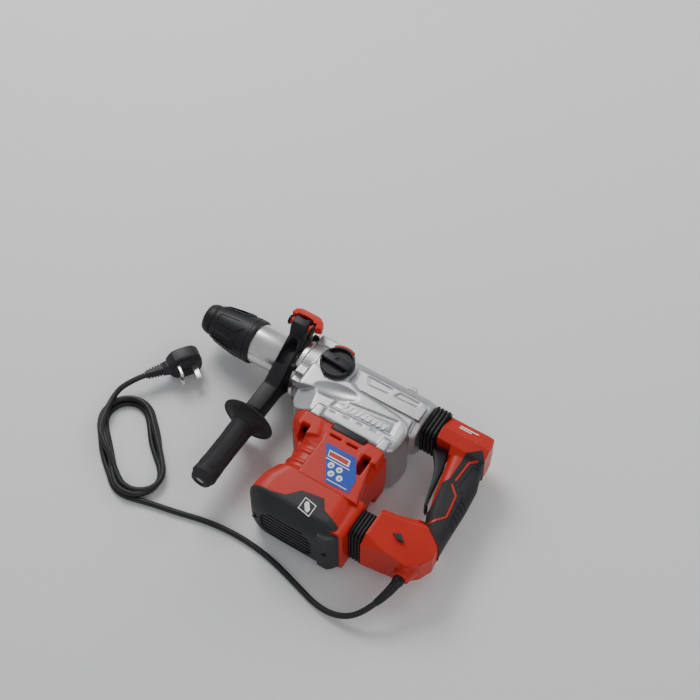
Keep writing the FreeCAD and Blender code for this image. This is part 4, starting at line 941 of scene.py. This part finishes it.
cut(dome, loft("cover_room", "Y", [(-217.5, 228, 345, -37.5, 37.5, 18), (-200, 225, 348, -42, 42, 18)]))
louvres = loft("louvre", "Y", [(-228.5, 243.5, 322.5, -27.5, 27.5, 20), (-220, 243.5, 322.5, -27.5, 27.5, 20)])
gaps = [box("louvre_gap", (240, -240, 8 * number - 29), (330, -215, 8 * number - 24.6)) for number in range(8)]
cut(louvres, *gaps)
melt(dome, 1.0, 3)
show(smooth(dome, 60), "grey_plastic", "root", "end_cover")
show(smooth(louvres, 30), "grey_plastic", "root")
# Painted shade: a dark rubber sheet just behind the louvres, standing in for the shaded inside of the grille, so the
# gaps read dark.
shade_sheet = box("grille_shade_sheet", (243, -220, -28), (323, -218.6, 28))
show(shade_sheet, "rubber", "root")

# %% [markdown]
# ## Label and printed marks
# The blue label is a thin sheet on the panel.  Its prints are plain shapes: a framed bar, two lines and four
# round signs.  The dark cover has a plain framed service sign.

# %% Printed marks
def mark(name, material, height, *outlines):
    parts = [prism(name, outline, height - 0.3, height) for outline in outlines]
    only(*parts)
    if len(parts) > 1:
        bpy.ops.object.join()
    return show(bpy.context.object, material, "root")


def slanted_bar(x, y, length, width):
    return [(x, y), (x + length, y), (x + length + 0.3 * width, y - width), (x + 0.3 * width, y - width)]


mark("label_frame", "white_print", 50.75, slanted_bar(280, -118.5, 32, 9.5))
mark("label_bar", "red_plastic", 50.85, slanted_bar(281.6, -120, 28.4, 6.4))
mark("label_lines", "white_print", 50.75, slanted_bar(282, -130.4, 36, 1.3), slanted_bar(300, -157, 30, 1.0))
rounds = [(294, -137.5), (307, -138), (300.5, -148), (313.5, -148.5)]
dots = [turned("label_signs", [(50.45, 0), (50.45, 4.4), (50.75, 4.4), (50.75, 0)], "Z", (x, y, 0), 32) for x, y in rounds]
only(*dots)
bpy.ops.object.join()
show(bpy.context.object, "white_print", "root")
pips = [prism("sign_pip", [(x - 2, y - 1.6), (x + 2, y - 1.6), (x + 0.8, y + 1.8)], 50.5, 50.85) for x, y in rounds]
only(*pips)
bpy.ops.object.join()
show(bpy.context.object, "blue_label", "root")
frame_ring = cut(prism("service_frame", [(292, -194), (311, -197.5), (311, -216), (292, -212.5)], 50.5, 50.95),
                 prism("inside", [(293.1, -195.5), (309.9, -198.6), (309.9, -214.5), (293.1, -211.4)], 50, 52))
show(frame_ring, "white_print", "root")
mark("service_sign", "white_print", 50.95, [(296, -199), (300, -198), (307, -207), (306, -212), (302, -211), (296, -203)])

# %% [markdown]
# ## Bellows
# Two rubber bellows seal the gap that lets the rear handle move.  Their pleats are sections of a loft.

# %% Bellows
def gaiter(name, front, rear, low, high, half, corner, stands_for):
    pleat = (rear - front) / 4
    rows = [(front, 0.6)]
    for number in range(4):
        start = front + pleat * number
        rows += [(start + 0.12 * pleat, 0), (start + 0.62 * pleat, 0), (start + 0.76 * pleat, 2.6), (start + 0.92 * pleat, 2.6)]
    rows += [(rear, 0.4)]
    skin = loft(name, "X", [(x, low + dip, high - dip, -half + dip, half - dip, corner) for x, dip in rows])
    cut(skin, loft("hollow", "X", [(front - 1, low + 5, high - 5, 5 - half, half - 5, corner - 2),
                                   (rear + 1, low + 5, high - 5, 5 - half, half - 5, corner - 2)]))
    bevel(skin, 0.35, 2, 30)
    show(smooth(skin, 30), "rubber", "root", stands_for)
    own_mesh(skin)


gaiter("top_gaiter", 357.4, 379.3, -18, 32, 27, 8, "upper_bellows")
gaiter("foot_gaiter", 360.6, 379.3, -202, -159, 36, 8, "lower_bellows")

# %% [markdown]
# ## Rear handle
# The handle is a closed loop of two red shells with a soft black jacket.  Its whole outside is modelled once:
# a head and a foot, each a side outline trimmed by an outline seen from behind, and a loft for the grip.  The
# shells are this form cut at the middle plane.  The jacket is the form again, pushed out by a millimetre.

# %% Handle form
head_side = prism("handle_form", [(380, 31), (407, 30.5), (436, 33.5), (446, 27), (450.5, 12), (452, -12), (449, -21),
                                  (404, -23), (402, -14), (380, -13)], -40, 40)
head_back = prism("head_back", [(-24, -14), (-13, -24), (4, -28), (27, -19), (35, -8), (35, 8), (27, 19), (4, 28),
                                (-13, 24), (-24, 14)], 370, 470, "X")
common(head_side, head_back)
grip_form = loft("grip_form", "Y", [(-14, 403, 450.5, -18.5, 18.5, 14), (-45, 409, 460, -16.2, 16.2, 14),
                                    (-80, 416, 463, -16, 16, 14), (-110, 424, 463.5, -16.2, 16.2, 14),
                                    (-130, 433, 464, -17.5, 17.5, 14), (-152, 436, 464.5, -20, 20, 13)])
foot_side = prism("foot_side", [(380, -146), (398, -143), (425, -131), (437, -131), (463, -146), (466, -168),
                                (458, -185), (441, -198), (415, -198), (380, -204)], -45, 45)
foot_above = prism("foot_above", [(370, -37), (384, -37), (424, -29), (452, -22), (470, -18), (470, 18), (452, 22),
                                  (424, 29), (384, 37), (370, 37)], -230, -120, "Y")
common(foot_side, foot_above)
for side in (1, -1):
    slope = prism("lower_slope", [(-190, 38 * side), (-190, 60 * side), (-230, 60 * side), (-230, 8 * side)], 370, 480, "X")
    crest = prism("upper_slope", [(-156, 38 * side), (-156, 60 * side), (-120, 60 * side), (-120, 14 * side)], 370, 480, "X")
    cut(foot_side, slope, crest)
gland = turned("gland", [(-206, 0), (-206, 11.2), (-199, 12.8), (-186, 15.5), (-176, 15.5), (-176, 0)], "Y", (441, 0, 0), 48)
form = join(head_side, grip_form, foot_side, gland)
melt(form, 1.0, 4)

# %% Shells, jacket and stripes
JACKET_EDGE = [(443, -1), (425.5, -14), (424.8, -56), (419, -64), (423, -84), (425, -101), (423, -115), (424, -132),
               (436, -132.5), (464, -151), (480, -158), (480, -30), (452, -12)]
STRIPES = ([(445, -15.8), (435.2, -21.8), (433, -54)],
           [(431.5, -61), (445, -73.7), (450, -106.5), (434, -127), (425, -132)])
GROOVES = ([(455, -21), (443, -25.7), (441, -57.5), (453, -71), (457, -108.7), (470, -119)],
           [(452, -76), (474, -81)], [(453.5, -84), (474, -89)], [(455, -92), (474, -97)], [(456, -100), (474, -105)])
blank = common(duplicate(form, "grip_blank"), box("grip_zone", (395, -166, -40), (475, 12, 40)))
core = common(grown(blank, 0.35, "grip_core"), prism("core_edge", JACKET_EDGE, -60, 60))
jacket = common(grown(blank, 1.2, "grip_jacket"), prism("jacket_edge", JACKET_EDGE, -60, 60))
stripe_skin = grown(blank, 1.5, "stripe_skin")
for line in STRIPES:
    for low, high in ((4, 60), (-60, -4)):
        stripe = common(duplicate(stripe_skin, "stripe"), strip("stripe_line", line, 3.0, low, high))
        cut(jacket, strip("stripe_bed", line, 4.4, low - 1, high + 1))
        show(smooth(stripe, 40), "red_plastic", "handle")
for line in GROOVES:
    cut(jacket, strip("groove_line", line, 1.0, -60, 60))
for spare in (blank, stripe_skin):
    bpy.data.objects.remove(spare)
only(jacket, core)
bpy.ops.object.join()
show(smooth(jacket, 40), "soft_grip", "handle", "grip_overmould")
mark_skin = grown(form, 0.25, "mark_skin")
show(smooth(jacket, 40), "soft_grip", "handle", "grip_overmould")

ROD_BORE = [(378, 0), (378, 9.8), (385, 9.8), (385, 5.3), (404, 5.3), (404, 0)]
cut(form, both_sides("badge_recess", [(407.5, -170.5), (417.5, -165.5), (428.5, -174.5), (418, -176)], 31.6, 60),
    prism("trigger_slot", [(378, -10.5), (414, -10.5), (424, -24), (431, -104), (424, -113), (405, -113)], -8.3, 8.3),
    turned("relief_bore", [(-208, 0), (-208, 6.6), (-186, 6.6), (-186, 0)], "Y", (441, 0, 0), 40),
    turned("upper_rod_bore", ROD_BORE, centre=(0, 9, 0), steps=32),
    turned("lower_rod_bore", ROD_BORE, centre=(0, -178, 0), steps=32))
far_shell = duplicate(form, "far_shell")
cut(form, box("far_half", (370, -240, -60), (480, 60, 0.05)))
cut(far_shell, box("near_half", (370, -240, -0.05), (480, 60, 60)))
form.name = "near_shell"
show(smooth(form, 50), "red_plastic", "handle", "handle_left")
show(smooth(far_shell, 50), "red_plastic", "handle", "handle_right")

badge = both_sides("handle_badge", [(408.5, -170.5), (417.5, -166.3), (427.3, -174.2), (418, -175.2)], 30.9, 33.6)
show(smooth(badge, 30), "black_plastic", "handle")
bars = []
for length, drop in ((27, 0), (18, 3.6)):
    start = 399
    bars.append(prism("handle_mark", [(start, 21 - drop), (start + length, 21 - drop),
                                      (start + length - 1.5, 19 - drop), (start - 1.5, 19 - drop)], 8, 40))
marks = join(bars[0], *bars[1:])
show(common(marks, mark_skin), "white_print", "handle")

# %% Trigger
trigger = prism("long_trigger", [(380, -22), (383, -16), (401, -16), (407, -40), (415, -93), (421, -104),
                                 (419, -108), (415.5, -105), (411, -92), (405, -68), (397, -46), (389, -33)], -7.4, 7.4)
bevel(trigger, 1.4, 3, 25)
show(smooth(trigger, 35), "black_plastic", "trigger", "trigger")

low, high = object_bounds()
